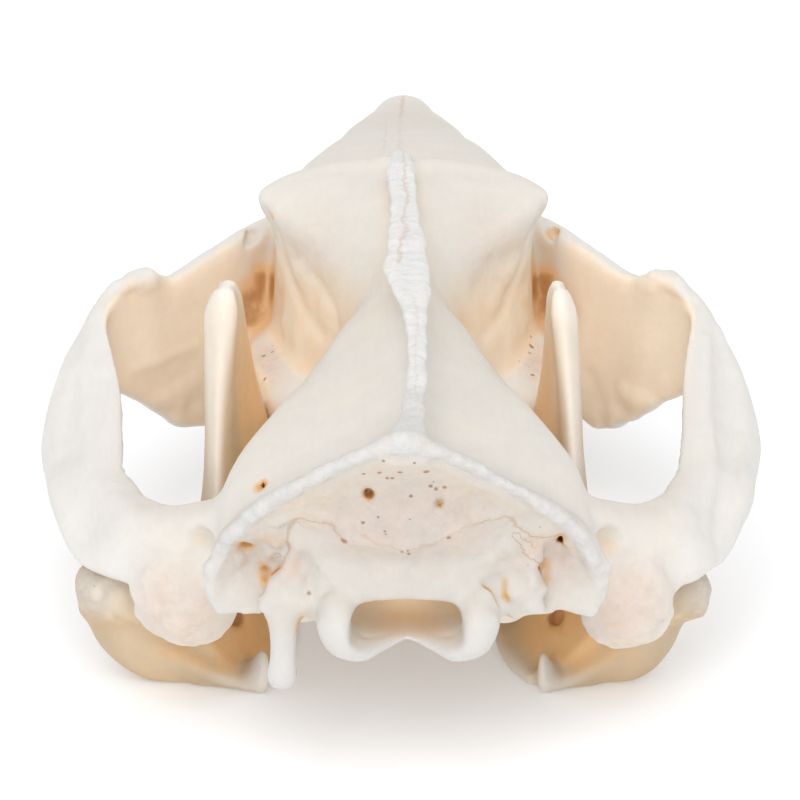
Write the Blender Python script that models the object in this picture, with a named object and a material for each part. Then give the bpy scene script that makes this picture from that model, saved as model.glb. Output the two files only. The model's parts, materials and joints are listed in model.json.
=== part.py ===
"""Skull of a large male opossum with both lower jaws, resting on its jaws as on a table.

All tables are in millimetres. X is across (positive is the skull's right), Y runs forward
from the back of the head to the nose, and Z is up from the table. The model is shifted at the
end so that the middle of its width and length lies over the origin.
"""
import math

import bmesh
import bpy
from mathutils import Vector

MM = 0.001
MID_WIDTH = -0.52          # half way between the two cheek arches, which differ a little
MID_LENGTH = 61.8          # half way between the back of the head and the nose
GAP = 0.3                  # space between touching bones and round each tooth root
UPPER_GUM = 16.2           # height of the necks of the upper teeth
LOWER_GUM = 12.75          # height of the necks of the lower teeth
SHARP_ANGLE = 50.0         # edges bent more than this stay crisp, in degrees

CORE_STEPS = 2             # rings for each table row, on smooth curves between the rows
SNOUT_ROWS = 5             # rows along the snout that need no ring between them
MASS_SEGMENTS = (10, 7)    # round and from pole to pole, for the rounded masses
EAR_SEGMENTS = (8, 6)
PIT_SEGMENTS = (6, 5)
BRAIN_SIDES = 14
NOSE_SIDES = 12
CHOANA_SIDES = 10
PROCESS_SIDES = 8
ROLLER_SIDES = 10

BONE_WHITE = (0.84, 0.80, 0.72, 1.0)
BONE_TAN = (0.76, 0.66, 0.50, 1.0)
ENAMEL = (0.82, 0.76, 0.63, 1.0)

# Half sections of the brain case and face: (y, points from the top midline round to the
# bottom midline). Columns 8 to 10 are the tooth-bearing margin from the cheek teeth forward.
CORE_SECTIONS = (
    (13, ((0, 35.5), (1.6, 34.8), (4.5, 32.8), (8.6, 31.2), (12.8, 29.5), (16.4, 27.2), (18.0, 23.6),
          (17.4, 19.4), (15.2, 16.6), (12, 15.5), (8, 15), (4, 14.5), (0, 14.4))),
    (20, ((0, 35.6), (1.6, 34.9), (4.4, 33.3), (8.4, 31.9), (12.6, 30.2), (16.2, 27.9), (17.3, 24.0),
          (16.4, 20.0), (14.2, 17), (11, 16), (7.5, 15.5), (4, 15.2), (0, 15.2))),
    (28, ((0, 35.8), (1.5, 35.1), (4.0, 33.7), (7.4, 32.3), (10.8, 31.0), (13.2, 29.0), (14.4, 25.0),
          (13.6, 20.8), (11.4, 17.8), (9, 17), (6.2, 16.7), (3.2, 16.5), (0, 16.6))),
    (36, ((0, 36.4), (1.4, 35.7), (3.6, 34.0), (6.2, 32.4), (8.6, 30.9), (10.3, 28.8), (11.0, 25.0),
          (10.2, 21.0), (8.6, 18.9), (7, 18.15), (5, 17.85), (2.6, 17.7), (0, 17.75))),
    (44, ((0, 37.2), (1.3, 36.4), (2.9, 34.9), (4.6, 33.5), (6.3, 31.7), (7.4, 29.0), (7.5, 25.4),
          (7.3, 22.2), (7.4, 20.0), (6.6, 18.8), (4.6, 18.6), (2.3, 19), (0, 19.2))),
    (51, ((0, 38.3), (1.4, 37.4), (3.0, 35.2), (4.4, 32.8), (5.3, 30.2), (5.8, 27.4), (5.9, 24.6),
          (7.4, 22.4), (10.2, 20.4), (10.4, 18.2), (8.0, 17.8), (4, 18.4), (0, 18.8))),
    (57, ((0, 39.6), (2.2, 38.6), (5.0, 36.6), (7.0, 34.2), (6.6, 31), (5.6, 28.3), (5.8, 25.5),
          (8.6, 23.2), (12.2, 21.0), (12.3, 17.5), (9.6, 17.3), (5, 18.1), (0, 18.3))),
    (62, ((0, 40.6), (3.6, 39.6), (8, 37.8), (11.4, 36.3), (9.2, 32.3), (6.2, 28.7), (6.6, 25.3),
          (12.6, 22.9), (15.6, 20.4), (15, 16.9), (10.4, 16.7), (5.5, 18.3), (0, 18.8))),
    (67, ((0, 41.0), (5, 40.2), (10.5, 39.2), (15.1, 37.6), (12.0, 33.8), (7.8, 29.5), (7.9, 25.7),
          (13.8, 23.2), (16.1, 19.8), (15.4, 16.7), (10.6, 16.6), (5.6, 18.4), (0, 19.0))),
    (72, ((0, 40.6), (5, 40.1), (9.6, 38.9), (12.6, 37.0), (11.6, 34), (9.4, 30.3), (9.7, 26.5),
          (14.4, 23.4), (16.1, 19.6), (15.3, 16.6), (10.4, 16.6), (5.4, 18.4), (0, 19.0))),
    (79, ((0, 39.5), (4.6, 39.2), (8.4, 38.2), (11.0, 36.2), (12.2, 33.8), (13.0, 31), (13.7, 27.3),
          (14.8, 23.4), (15.2, 19.4), (14.4, 16.6), (9.6, 16.7), (5, 18.3), (0, 18.9))),
    (88, ((0, 37.3), (4, 37.1), (7.2, 36.2), (9.2, 34.8), (10.3, 32.4), (11.0, 29.3), (11.6, 25.5),
          (12.4, 21.9), (12.7, 18.6), (12.2, 16.6), (8.6, 16.7), (4.6, 17.9), (0, 18.4))),
    (98, ((0, 34.8), (3.4, 34.6), (5.8, 33.8), (7.6, 32.4), (8.6, 30.3), (9.2, 27.1), (9.6, 23.7),
          (10.1, 20.3), (10.3, 17.8), (9.9, 16.5), (7.2, 16.5), (3.8, 17), (0, 17.3))),
    (107, ((0, 32.4), (3, 32.2), (5.2, 31.5), (6.8, 30.2), (7.8, 28.2), (8.8, 25.3), (9.8, 22.1),
           (10.4, 19), (10.4, 17.4), (9.8, 16.4), (6.6, 16.4), (3.4, 16.5), (0, 16.6))),
    (115, ((0, 30.5), (2.6, 30.2), (4.4, 29.5), (5.7, 28.2), (6.4, 26.4), (6.7, 23.8), (6.7, 20.9),
           (6.6, 18.8), (6.3, 17.4), (5.7, 16.5), (3.6, 16.4), (1.8, 16.4), (0, 16.4))),
    (121, ((0, 29.2), (2.2, 28.9), (3.6, 28.1), (4.5, 26.8), (4.8, 25), (4.7, 22.6), (4.5, 19.8),
           (4.4, 18.2), (4.2, 17.2), (3.7, 16.5), (2.4, 16.4), (1.2, 16.4), (0, 16.4))),
)
# The nose end, with the nasal bones reaching further forward than the tooth margin.
NOSE_RING = ((0, 124.9, 28.6), (1.2, 124.8, 28.4), (2.1, 124.6, 27.7), (2.6, 124.2, 26.6),
             (2.9, 123.6, 25), (3.2, 123.2, 22.6), (3.2, 123.2, 19.8), (3.1, 123.2, 18.4),
             (2.8, 123.2, 17.4), (2.4, 123.1, 16.9), (1.6, 123.1, 16.7), (0.8, 123.1, 16.7),
             (0, 123.1, 16.7))
# Back of the head, as half rings of (x, y, z): the flare, the crest's edge and the back plate.
FLARE_RING = ((0, 6, 37.2), (1.8, 6, 36.2), (5, 7, 33.7), (9.3, 8.2, 31.3), (13.5, 9.6, 28.8),
              (16.9, 10.8, 26.0), (18.4, 11.4, 22.6), (18.2, 11.5, 19.0), (16.4, 11, 16.8),
              (12.4, 10.4, 17.4), (8, 10.4, 16.8), (4, 10.8, 14.8), (0, 11, 14.2))
EDGE_RING = ((0, -1.2, 39.8), (2.4, -0.5, 38.8), (5.2, 1.0, 36.9), (9.8, 3.0, 33.3),
             (13.8, 5.2, 29.8), (17.0, 7.2, 26.0), (18.9, 8.4, 22.4), (19.4, 9.0, 18.9),
             (17.4, 8.5, 17.2), (13, 7.6, 18.2), (8.6, 6.0, 18.0), (4.4, 7.0, 14.6), (0, 8.0, 14.2))
LIP_RING = ((0, -0.9, 38.4), (2.1, -0.2, 37.4), (4.6, 1.2, 35.6), (9.0, 3.2, 32.1),
            (12.8, 5.5, 28.7), (15.9, 7.6, 25.1), (17.6, 8.8, 22), (18.0, 9.5, 19.6),
            (16.4, 8.9, 18.4), (12.6, 7.0, 19.2), (8.4, 5.2, 19.0), (4.4, 6.0, 15.6), (0, 7.0, 15))
PLATE_RING = ((0, 2.2, 36.4), (1.9, 2.6, 35.3), (4.1, 3.4, 33.6), (7.9, 5.4, 30.4),
              (11.4, 7.6, 27.2), (14.0, 9.2, 24), (15.4, 10.0, 21.6), (15.4, 10.4, 20.2),
              (13.8, 9.6, 19.6), (11, 6.6, 20.2), (8, 5.0, 20.0), (4.4, 4.8, 17.4), (0, 5.6, 16.6))
CENTRE_RING = ((0, 3.2, 31.5), (1.4, 3.4, 30.8), (3.0, 3.8, 29.6), (5.4, 4.8, 27.8),
               (7.6, 6.0, 26), (9.2, 7.0, 24.2), (9.8, 7.4, 22.8), (9.4, 7.0, 21.8),
               (8.4, 6.0, 21.6), (6.6, 5.0, 21.4), (4.6, 4.2, 20.6), (2.4, 4.0, 19.9), (0, 4.2, 19.6))
PLATE_CENTRE = (0, 3.6, 25.5)

# Midline crest: (y, x of its wavering line, half width of its edge, top height, foot height).
CREST_STATIONS = (
    (70, -0.5, 0.5, 41.0, 38.9), (68, -0.6, 0.9, 42.4, 38.9), (65, -0.6, 1.1, 43.0, 38.7),
    (56, -0.4, 1.4, 42.4, 37.4), (48, -0.2, 1.6, 41.7, 36.2), (41, 0.1, 2.0, 41.1, 35.2),
    (33, 0.4, 1.7, 40.5, 34.6), (24, 0.6, 1.35, 40.0, 34.2), (15, 0.7, 1.3, 39.7, 34.2),
    (7, 0.7, 1.35, 39.6, 35.0), (2, 0.5, 1.5, 39.9, 36.3), (-0.7, 0.3, 0.9, 39.45, 38.2))

# Cheek arch, from the ear region out, forward and in to the face:
# (top edge, bulge, lower edge, inward direction in plan, thickness).
ARCH_STATIONS = (
    ((13.0, 16.5, 24.5), (13.0, 15.8, 20.0), (13.0, 16.5, 15.5), (0.0, 1.0), 6.0),
    ((18.4, 17.2, 24.0), (18.4, 16.6, 20.0), (18.4, 17.4, 14.8), (0.0, 1.0), 7.4),
    ((22.6, 20.6, 21.8), (22.9, 18.8, 18.5), (22.9, 19.5, 14.4), (0.0, 1.0), 7.4),
    ((26.4, 24.2, 21.0), (28.2, 21.6, 18.0), (28.2, 22.0, 14.4), (-0.25, 0.97), 6.2),
    ((28.6, 28.5, 20.6), (33.4, 25.8, 15.8), (32.6, 26.2, 14.4), (-0.6, 0.8), 4.4),
    ((29.4, 33.0, 20.9), (36.0, 31.5, 16.4), (35.0, 31.5, 13.9), (-0.95, 0.3), 3.8),
    ((29.6, 39.0, 22.6), (36.9, 38.5, 17.3), (35.6, 38.5, 13.6), (-1.0, 0.0), 3.6),
    ((30.2, 45.0, 24.4), (37.1, 45.0, 19.8), (35.8, 45.0, 14.4), (-0.99, -0.1), 3.4),
    ((31.2, 51.0, 26.8), (36.3, 51.0, 23.0), (35.0, 51.0, 15.8), (-0.97, -0.25), 3.2),
    ((32.0, 57.0, 29.2), (34.7, 56.5, 24.4), (32.8, 56.5, 17.4), (-0.9, -0.43), 3.0),
    ((29.8, 60.6, 31.0), (31.8, 60.5, 23.5), (29.0, 59.5, 16.8), (-0.75, -0.66), 2.8),
    ((27.2, 62.4, 31.0), (28.4, 63.0, 21.5), (26.4, 62.4, 14.4), (-0.65, -0.76), 2.8),
    ((25.6, 64.5, 29.4), (25.8, 66.2, 20.5), (24.2, 65.2, 12.6), (-0.65, -0.76), 2.8),
    ((21.6, 69.5, 30.2), (22.6, 70.4, 20.5), (21.6, 68.6, 11.6), (-0.6, -0.8), 3.0),
    ((17.0, 75.0, 31.2), (18.2, 75.5, 23.0), (17.8, 73.0, 16.6), (-0.6, -0.8), 3.2),
    ((12.5, 79.0, 31.6), (12.5, 80.0, 24.5), (12.0, 78.5, 20.6), (-0.5, -0.86), 3.0))
RIGHT_ARCH_SHARE = 0.972   # the right arch stands out a little less

# Rounded masses fused to the cranium: (centre, radii), built on the right and mirrored.
CONDYLE = ((6.15, 3.5, 19.85), (2.55, 4.3, 3.95))
EAR_BULB = ((9.8, 20.5, 14.6), (3.1, 4.2, 3.6))
POSTGLENOID_LEFT = ((21.8, 19.2, 12.8), (4.7, 2.9, 5.0))
POSTGLENOID_RIGHT = ((21.6, 19.2, 13.2), (4.5, 2.9, 4.5))

# Process beside the right and left condyle: (centre of the section, half width, half depth).
PROCESS_LEFT = (((-12.6, 8.2, 26.0), 1.3, 1.2), ((-12.0, 6.8, 22.0), 1.4, 1.3),
                ((-11.3, 6.4, 18.0), 1.3, 1.2), ((-11.3, 6.8, 14.4), 1.2, 1.2),
                ((-11.6, 7.2, 11.4), 1.5, 1.3), ((-11.6, 7.3, 10.2), 1.0, 0.9))
PROCESS_RIGHT = (((12.6, 8.2, 26.0), 1.3, 1.2), ((12.3, 6.8, 22.0), 1.5, 1.3),
                 ((12.2, 6.4, 19.2), 1.2, 1.0))

# Wing of bone behind the palate: (y, x, top, bottom).
WING_STATIONS = ((60, 5.2, 19.6, 17.2), (55, 5.0, 20.2, 15.6), (50, 4.6, 20.4, 14.4),
                 (45, 4.4, 20.4, 14.6), (41.3, 4.4, 20.1, 16.6), (38.4, 4.4, 19.7, 18.7))
WING_HALF_WIDTH = 0.55

# Room for the brain, opening backward: (y, half width, half height, centre height).
BRAIN_ROOM = ((-6, 4.6, 2.9, 19.0), (2, 4.6, 2.9, 19.0), (6, 4.8, 3.0, 19.1), (10, 7.0, 3.9, 20.4),
              (16, 11.0, 6.0, 22.9), (24, 11.6, 6.5, 23.5), (32, 9.0, 5.4, 24.6),
              (39, 6.0, 4.0, 26.0), (44, 3.6, 2.6, 26.6))
# Opening of the nose, running back: (y, half width, half height, centre height).
NOSE_ROOM = ((128, 2.9, 4.2, 23.2), (122, 2.9, 4.2, 23.2), (114, 3.2, 4.4, 23.6),
             (106, 2.6, 3.6, 24.4), (100, 1.4, 2.2, 25.0))
# Channel of the inner nostrils below the skull's base.
CHOANA_ROOM = ((37, 2.0, 1.4, 16.8), (44, 3.2, 3.2, 17.4), (52, 3.2, 3.4, 17.8),
               (58, 3.0, 2.2, 19.6), (65, 2.0, 1.3, 20.4))
# Small openings, right side: (centre, radii).
PITS = (((15.6, 76.4, 30.0), (1.0, 3.0, 1.3)),       # tear duct at the eye's front edge
        ((13.6, 84.5, 24.4), (1.3, 3.4, 1.7)),       # nerve opening in front of the cheek
        ((3.4, 70.0, 18.4), (1.3, 7.0, 1.3)),        # window in the palate
        ((3.9, 109.4, 15.6), (2.5, 2.5, 6.4)),       # pit for the lower canine
        ((14.9, 8.4, 24.2), (0.8, 2.4, 0.9)))        # opening in the back plate

# Body of the lower jaw, back to front: (y, inner x, outer x, bottom, top).
JAW_BODY = ((28, 20.6, 25.6, 2.4, 9.0), (34, 18.6, 23.0, 1.6, 11.6), (40, 16.9, 20.8, 1.2, 12.6),
            (48, 14.2, 18.2, 0.9, 13.2), (55, 11.6, 16.4, 0.6, 13.0), (61, 9.2, 14.6, 0.2, 12.5),
            (68, 6.8, 12.2, 0.0, 12.4), (76, 5.6, 10.8, 0.0, 12.4), (85, 4.9, 9.7, 0.0, 12.4),
            (94, 4.3, 8.7, 0.3, 12.3), (100, 2.6, 7.6, 0.7, 12.2), (105, 0.4, 6.4, 1.2, 12.1),
            (110, 0.2, 5.7, 2.0, 12.0), (114, 0.2, 4.4, 3.2, 11.7), (117.4, 0.2, 2.9, 5.0, 11.5),
            (119, 0.4, 1.8, 6.6, 11.0))
# Outline of the body's section: (share of the width from the inner side, share of the height).
BODY_OUTLINE = ((0.30, 0.0), (0.62, 0.0), (0.9, 0.22), (1.0, 0.5), (0.94, 0.8), (0.84, 1.0),
                (0.14, 1.0), (0.0, 0.8), (0.0, 0.45), (0.08, 0.18))
# Blade of the lower jaw: (height, rear y, front y, rear x, front x, rear and front thickness).
BLADE = ((7.0, 31.0, 58.0, 21.0, 13.0, 3.0, 3.4), (12.5, 30.2, 57.6, 19.8, 13.8, 2.6, 3.0),
         (18.0, 31.5, 55.0, 19.0, 15.2, 2.3, 2.2), (23.0, 33.8, 52.4, 18.8, 16.0, 2.1, 1.7),
         (28.0, 36.2, 50.0, 18.7, 16.6, 2.2, 1.6), (32.0, 38.4, 48.2, 18.5, 17.2, 2.5, 1.7),
         (35.2, 40.2, 46.6, 18.3, 17.7, 2.6, 1.8), (37.0, 41.6, 44.6, 18.1, 17.9, 1.7, 1.3))
# Outline of the blade's section: (share of the way forward, share of the front edge's x in the
# mix of rear and front, then how many rear and front thicknesses it stands out).
BLADE_OUTLINE = ((0.0, 0.0, -0.12, 0.0), (0.05, 0.0, 0.5, 0.0), (0.4, 0.4, 0.0, 0.42),
                 (0.88, 1.0, 0.0, 0.4), (1.0, 1.0, 0.0, 0.0), (0.9, 1.0, 0.0, -0.5),
                 (0.4, 0.4, 0.0, -0.42), (0.07, 0.0, -0.5, 0.0))
# Hinge roller of the lower jaw: (x, y, z, radius).
ROLLER = ((19.2, 24.8, 9.8, 1.2), (20.4, 24.9, 10.0, 2.3), (25.0, 25.3, 10.5, 2.7),
          (31.4, 26.0, 10.8, 2.7), (33.2, 26.2, 10.8, 1.8))
# Rear wall and inturned corner, from the outside in: (x, rear y, front y, bottom, top).
SHELF = ((32.2, 26.4, 29.0, 6.8, 9.2), (31.0, 26.2, 30.4, 4.4, 10.0), (29.0, 26.0, 31.8, 1.6, 10.2),
         (26.4, 25.9, 33.8, 0.0, 10.0), (23.6, 25.7, 36.4, 0.0, 9.6), (21.0, 25.4, 38.0, 0.0, 7.2),
         (18.0, 24.8, 37.0, 0.0, 4.0), (15.4, 24.2, 33.0, 0.0, 3.2), (13.8, 23.8, 29.5, 0.3, 5.6),
         (13.0, 24.0, 26.6, 1.6, 6.2))
# Outline of the shelf's section: (share of its depth, share of its height).
SHELF_OUTLINE = ((0.15, 0.0), (0.75, 0.0), (1.0, 0.25), (0.55, 0.5), (0.38, 1.0), (0.12, 0.9), (0.0, 0.5))
# The right jaw sits nearer the midline at its hinge, and its blade leans in.
RIGHT_JAW_SHARE = 0.803
RIGHT_JAW_START = 13.0
RIGHT_BLADE_LEAN = 0.05
RIGHT_LEAN_START = 10.0
JAW_PIT = ((17.0, 38.5, 6.2), (2.2, 3.6, 1.9))       # nerve opening on the inner side

# Teeth: (name, x, y, length along the row, width, crown height, tip lean, cusp pattern).
UPPER_TEETH = (
    ("incisor_1", 1.15, 121.5, 1.5, 1.5, 4.6, 0.5, "peg"),
    ("incisor_2", 2.9, 119.8, 1.5, 1.4, 3.9, 0.3, "peg"),
    ("incisor_3", 3.7, 117.6, 1.6, 1.4, 3.8, 0.2, "peg"),
    ("incisor_4", 4.3, 115.3, 1.6, 1.4, 3.7, 0.1, "peg"),
    ("incisor_5", 4.85, 113.0, 1.5, 1.3, 3.3, 0.0, "peg"),
    ("canine", 8.2, 104.2, 5.4, 3.2, 11.6, -2.0, "fang"),
    ("premolar_1", 8.6, 98.2, 2.6, 1.8, 2.8, 0.0, "peg"),
    ("premolar_2", 9.4, 92.9, 4.6, 2.4, 4.2, 0.0, "blade"),
    ("premolar_3", 10.4, 87.1, 5.0, 2.7, 4.6, 0.0, "blade"),
    ("molar_1", 11.6, 81.2, 5.2, 4.3, 3.0, 0.0, "grinder"),
    ("molar_2", 12.5, 75.6, 5.2, 4.7, 3.0, 0.0, "grinder"),
    ("molar_3", 13.0, 70.1, 5.0, 4.8, 3.0, 0.0, "grinder"),
    ("molar_4", 12.9, 65.2, 3.6, 4.6, 2.7, 0.0, "grinder"))
LOWER_TEETH = (
    ("incisor_1", 0.95, 117.4, 1.2, 1.1, 2.6, 0.5, "peg"),
    ("incisor_2", 1.85, 115.9, 1.2, 1.1, 2.5, 0.3, "peg"),
    ("incisor_3", 2.4, 114.1, 1.2, 1.1, 2.4, 0.2, "peg"),
    ("incisor_4", 2.85, 112.4, 1.2, 1.1, 2.3, 0.1, "peg"),
    ("canine", 3.9, 109.3, 3.2, 2.5, 7.8, -0.6, "fang"),
    ("premolar_1", 5.2, 103.2, 2.2, 1.6, 2.2, 0.0, "peg"),
    ("premolar_2", 6.0, 98.0, 4.2, 2.0, 2.7, 0.0, "blade"),
    ("premolar_3", 6.6, 92.4, 4.6, 2.1, 2.8, 0.0, "blade"),
    ("molar_1", 7.2, 86.6, 5.0, 2.7, 2.6, 0.0, "grinder"),
    ("molar_2", 7.6, 80.9, 5.0, 2.8, 2.6, 0.0, "grinder"),
    ("molar_3", 8.1, 75.2, 5.0, 2.8, 2.6, 0.0, "grinder"),
    ("molar_4", 8.8, 69.6, 4.8, 2.7, 2.5, 0.0, "grinder"))
ROOT_LENGTH = 2.6
FANG_EXTRA = 1.6           # a fang's root is longer by this
ROOT_SHARE = 0.66          # root size as a share of the crown's
ROOT_TAPER = 0.7           # size of the root's end as a share of its neck
WIDEST_SHARE = 0.28        # height of a crown's widest level as a share of its whole height
BASIN_SHARE = 0.45         # height of a grinder's middle, below its cusps
GRINDER_CUSPS = (0.0, -0.9, 0.0, -0.7, 0.0, -0.9, 0.0, -0.7)
KEPT_SHARE = 0.82          # share of the bones' triangles left after slivers are collapsed


def clear_scene():
    """Take every object out of the scene."""
    for obj in list(bpy.data.objects):
        bpy.data.objects.remove(obj, do_unlink=True)


def make_material(name, colour, roughness):
    """A plain bone or enamel surface."""
    mat = bpy.data.materials.new(name)
    mat.use_nodes = True
    shader = mat.node_tree.nodes["Principled BSDF"]
    shader.inputs["Base Color"].default_value = colour
    shader.inputs["Roughness"].default_value = roughness
    shader.inputs["Metallic"].default_value = 0.0
    return mat


def settle_right_jaw(point):
    """Draw the rear of the right jaw toward the midline."""
    x, y, z = point
    if x > RIGHT_JAW_START:
        x = RIGHT_JAW_START + (x - RIGHT_JAW_START) * RIGHT_JAW_SHARE
        x -= max(0.0, z - RIGHT_LEAN_START) * RIGHT_BLADE_LEAN
    return Vector((x, y, z))


def catmull(p0, p1, p2, p3, t):
    """Point at t between p1 and p2 on the smooth curve through four points."""
    return 0.5 * (2 * p1 + (p2 - p0) * t + (2 * p0 - 5 * p1 + 4 * p2 - p3) * t * t
                  + (3 * p1 - p0 - 3 * p2 + p3) * t * t * t)


def smooth_rings(rings, steps):
    """Add steps - 1 rings between each pair, on smooth curves through the matching points."""
    out = []
    for i in range(len(rings) - 1):
        before = rings[max(i - 1, 0)]
        after = rings[min(i + 2, len(rings) - 1)]
        for k in range(steps):
            t = k / steps
            out.append([catmull(a, b, c, d, t)
                        for a, b, c, d in zip(before, rings[i], rings[i + 1], after)])
    out.append(rings[-1])
    return out


def mirror_ring(half):
    """Close a half ring that runs from the top midline to the bottom midline."""
    right = [Vector(p) for p in half]
    left = [Vector((-p.x, p.y, p.z)) for p in reversed(right[1:-1])]
    return right + left


def skin_rings(bm, rings, middle=None):
    """Extrude the first ring from station to station and close both ends."""
    current = [bm.verts.new(p) for p in rings[0]]
    count = len(current)
    edges = [bm.edges.new((current[i], current[(i + 1) % count])) for i in range(count)]
    bm.faces.new(current)
    for ring in rings[1:]:
        made = bmesh.ops.extrude_edge_only(bm, edges=edges)["geom"]
        fresh = {v for v in made if isinstance(v, bmesh.types.BMVert)}
        following = []
        for vert in current:
            across = [edge.other_vert(vert) for edge in vert.link_edges]
            following.append(next(v for v in across if v in fresh))
        for vert, place in zip(following, ring):
            vert.co = place
        current = following
        edges = [bm.edges.get((current[i], current[(i + 1) % count])) for i in range(count)]
    if middle is None:
        bm.faces.new(current)
    else:
        tip = bm.verts.new(middle)
        for i in range(count):
            bm.faces.new((current[i], current[(i + 1) % count], tip))


def finish_mesh(bm, name):
    """Turn millimetres into metres, move the middle to the origin and face outward."""
    for vert in bm.verts:
        vert.co = Vector((vert.co.x - MID_WIDTH, vert.co.y - MID_LENGTH, vert.co.z)) * MM
    bmesh.ops.triangulate(bm, faces=[f for f in bm.faces if len(f.verts) > 4])
    bmesh.ops.recalc_face_normals(bm, faces=bm.faces)
    mesh = bpy.data.meshes.new(name)
    bm.to_mesh(mesh)
    bm.free()
    return mesh


def add_object(name, mesh):
    """Put a mesh in the scene."""
    obj = bpy.data.objects.new(name, mesh)
    bpy.context.scene.collection.objects.link(obj)
    return obj


def ring_solid(name, rings, middle=None):
    """A closed solid skinned over rings."""
    bm = bmesh.new()
    skin_rings(bm, rings, middle)
    return add_object(name, finish_mesh(bm, name))


def flip_rings(rings, side):
    """Carry rings to the other side of the midline where side is -1."""
    return [[Vector((p[0] * side, p[1], p[2])) for p in ring] for ring in rings]


def ball(name, centre, radii, side=1, segments=MASS_SEGMENTS):
    """A stretched sphere."""
    bm = bmesh.new()
    bmesh.ops.create_uvsphere(bm, u_segments=segments[0], v_segments=segments[1], radius=1.0)
    for vert in bm.verts:
        vert.co = Vector((centre[0] * side + vert.co.x * radii[0], centre[1] + vert.co.y * radii[1],
                          centre[2] + vert.co.z * radii[2]))
    return add_object(name, finish_mesh(bm, name))


def round_turn(sides):
    """Equal steps of one turn."""
    return [2 * math.pi * k / sides for k in range(sides)]


def tunnel(name, stations, sides):
    """A tube of oval sections standing across Y."""
    rings = []
    for y, half_width, half_height, height in stations:
        rings.append([Vector((half_width * math.sin(a), y, height + half_height * math.cos(a)))
                      for a in round_turn(sides)])
    return ring_solid(name, rings)


def combine(target, others, operation):
    """Join or cut target with each of the others, then drop them."""
    for other in others:
        mod = target.modifiers.new(operation.title(), "BOOLEAN")
        mod.operation = operation
        mod.solver = "EXACT"
        mod.object = other
        graph = bpy.context.evaluated_depsgraph_get()
        mesh = bpy.data.meshes.new_from_object(target.evaluated_get(graph))
        target.modifiers.clear()
        target.data = mesh
        bpy.data.objects.remove(other, do_unlink=True)
    return target


def join_cutters(name, cutters):
    """Gather separate cutters in one mesh."""
    bm = bmesh.new()
    for cutter in cutters:
        bm.from_mesh(cutter.data)
        bpy.data.objects.remove(cutter, do_unlink=True)
    mesh = bpy.data.meshes.new(name)
    bm.to_mesh(mesh)
    bm.free()
    return add_object(name, mesh)


def core_solid():
    """Brain case and face in one skin, ending in the hollow plate at the back of the head."""
    sections = [[Vector((x, y, z)) for x, z in half] for y, half in CORE_SECTIONS]
    rear_part = smooth_rings(sections[:-SNOUT_ROWS], CORE_STEPS)
    forward_half_rings = rear_part + sections[-SNOUT_ROWS:] + [NOSE_RING]
    rings = [mirror_ring(half) for half in reversed(forward_half_rings)]
    for half in (FLARE_RING, EDGE_RING, LIP_RING, PLATE_RING, CENTRE_RING):
        rings.append(mirror_ring(half))
    return ring_solid("cranium", rings, PLATE_CENTRE)


def crest_solid():
    """Thin upright plate with a thickened edge along the midline."""
    rings = []
    for y, x, half, top, foot in CREST_STATIONS:
        rise = top - foot
        right = [(0.0, top), (half * 0.7, top - 0.25), (half, top - 0.3 * rise),
                 (half * 0.55, top - 0.6 * rise), (half * 0.9, foot)]
        left = [(-a, b) for a, b in reversed(right[1:])]
        rings.append([Vector((x + a, y, b)) for a, b in right + left])
    return ring_solid("crest", rings)


def arch_solid(side):
    """Cheek arch as a bowed ribbon with rounded edges."""
    rings = []
    for top, bulge, low, inward, thick in ARCH_STATIONS:
        top, bulge, low = Vector(top), Vector(bulge), Vector(low)
        push = Vector((inward[0], inward[1], 0.0)).normalized() * thick
        outer = [top, top.lerp(bulge, 0.55) - push * 0.12, bulge, low]
        inner = [low + push * 0.55 + Vector((0, 0, -0.2)), bulge.lerp(low, 0.3) + push * 0.95,
                 top.lerp(bulge, 0.5) + push * 0.75, top + push * 0.38 + Vector((0, 0, -0.3))]
        rings.append(outer + inner)
    share = RIGHT_ARCH_SHARE if side > 0 else 1.0
    rings = [[Vector((p.x * share, p.y, p.z)) for p in ring] for ring in rings]
    return ring_solid("arch", flip_rings(rings, side))


def process_solid(name, stations):
    """Peg of bone beside a condyle."""
    rings = []
    for centre, half_width, half_depth in stations:
        x, y, z = centre
        rings.append([Vector((x + half_width * math.cos(a), y + half_depth * math.sin(a), z))
                      for a in round_turn(PROCESS_SIDES)])
    return ring_solid(name, rings)


def wing_solid(side):
    """Thin wing behind the palate."""
    rings = []
    for y, x, top, low in WING_STATIONS:
        rings.append([(x - WING_HALF_WIDTH, y, top), (x + WING_HALF_WIDTH, y, top),
                      (x + WING_HALF_WIDTH, y, low), (x - WING_HALF_WIDTH, y, low)])
    return ring_solid("wing", flip_rings(rings, side))


def crown_ring(x, y, length, width, height, sides, bumps=None):
    """One level of a tooth: an oval with an optional rise and fall round it."""
    ring = []
    for k in range(sides):
        a = 2 * math.pi * (k + 0.5) / sides
        lift = bumps[k % len(bumps)] if bumps else 0.0
        ring.append(Vector((x + 0.5 * width * math.cos(a), y + 0.5 * length * math.sin(a),
                            height + lift)))
    return ring


def tooth_sides(pattern):
    """Corners of a tooth's levels."""
    return 8 if pattern in ("grinder", "fang") else 6


def root_length(pattern):
    """Depth of a tooth's root below its neck."""
    return ROOT_LENGTH + (FANG_EXTRA if pattern == "fang" else 0.0)


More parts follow.
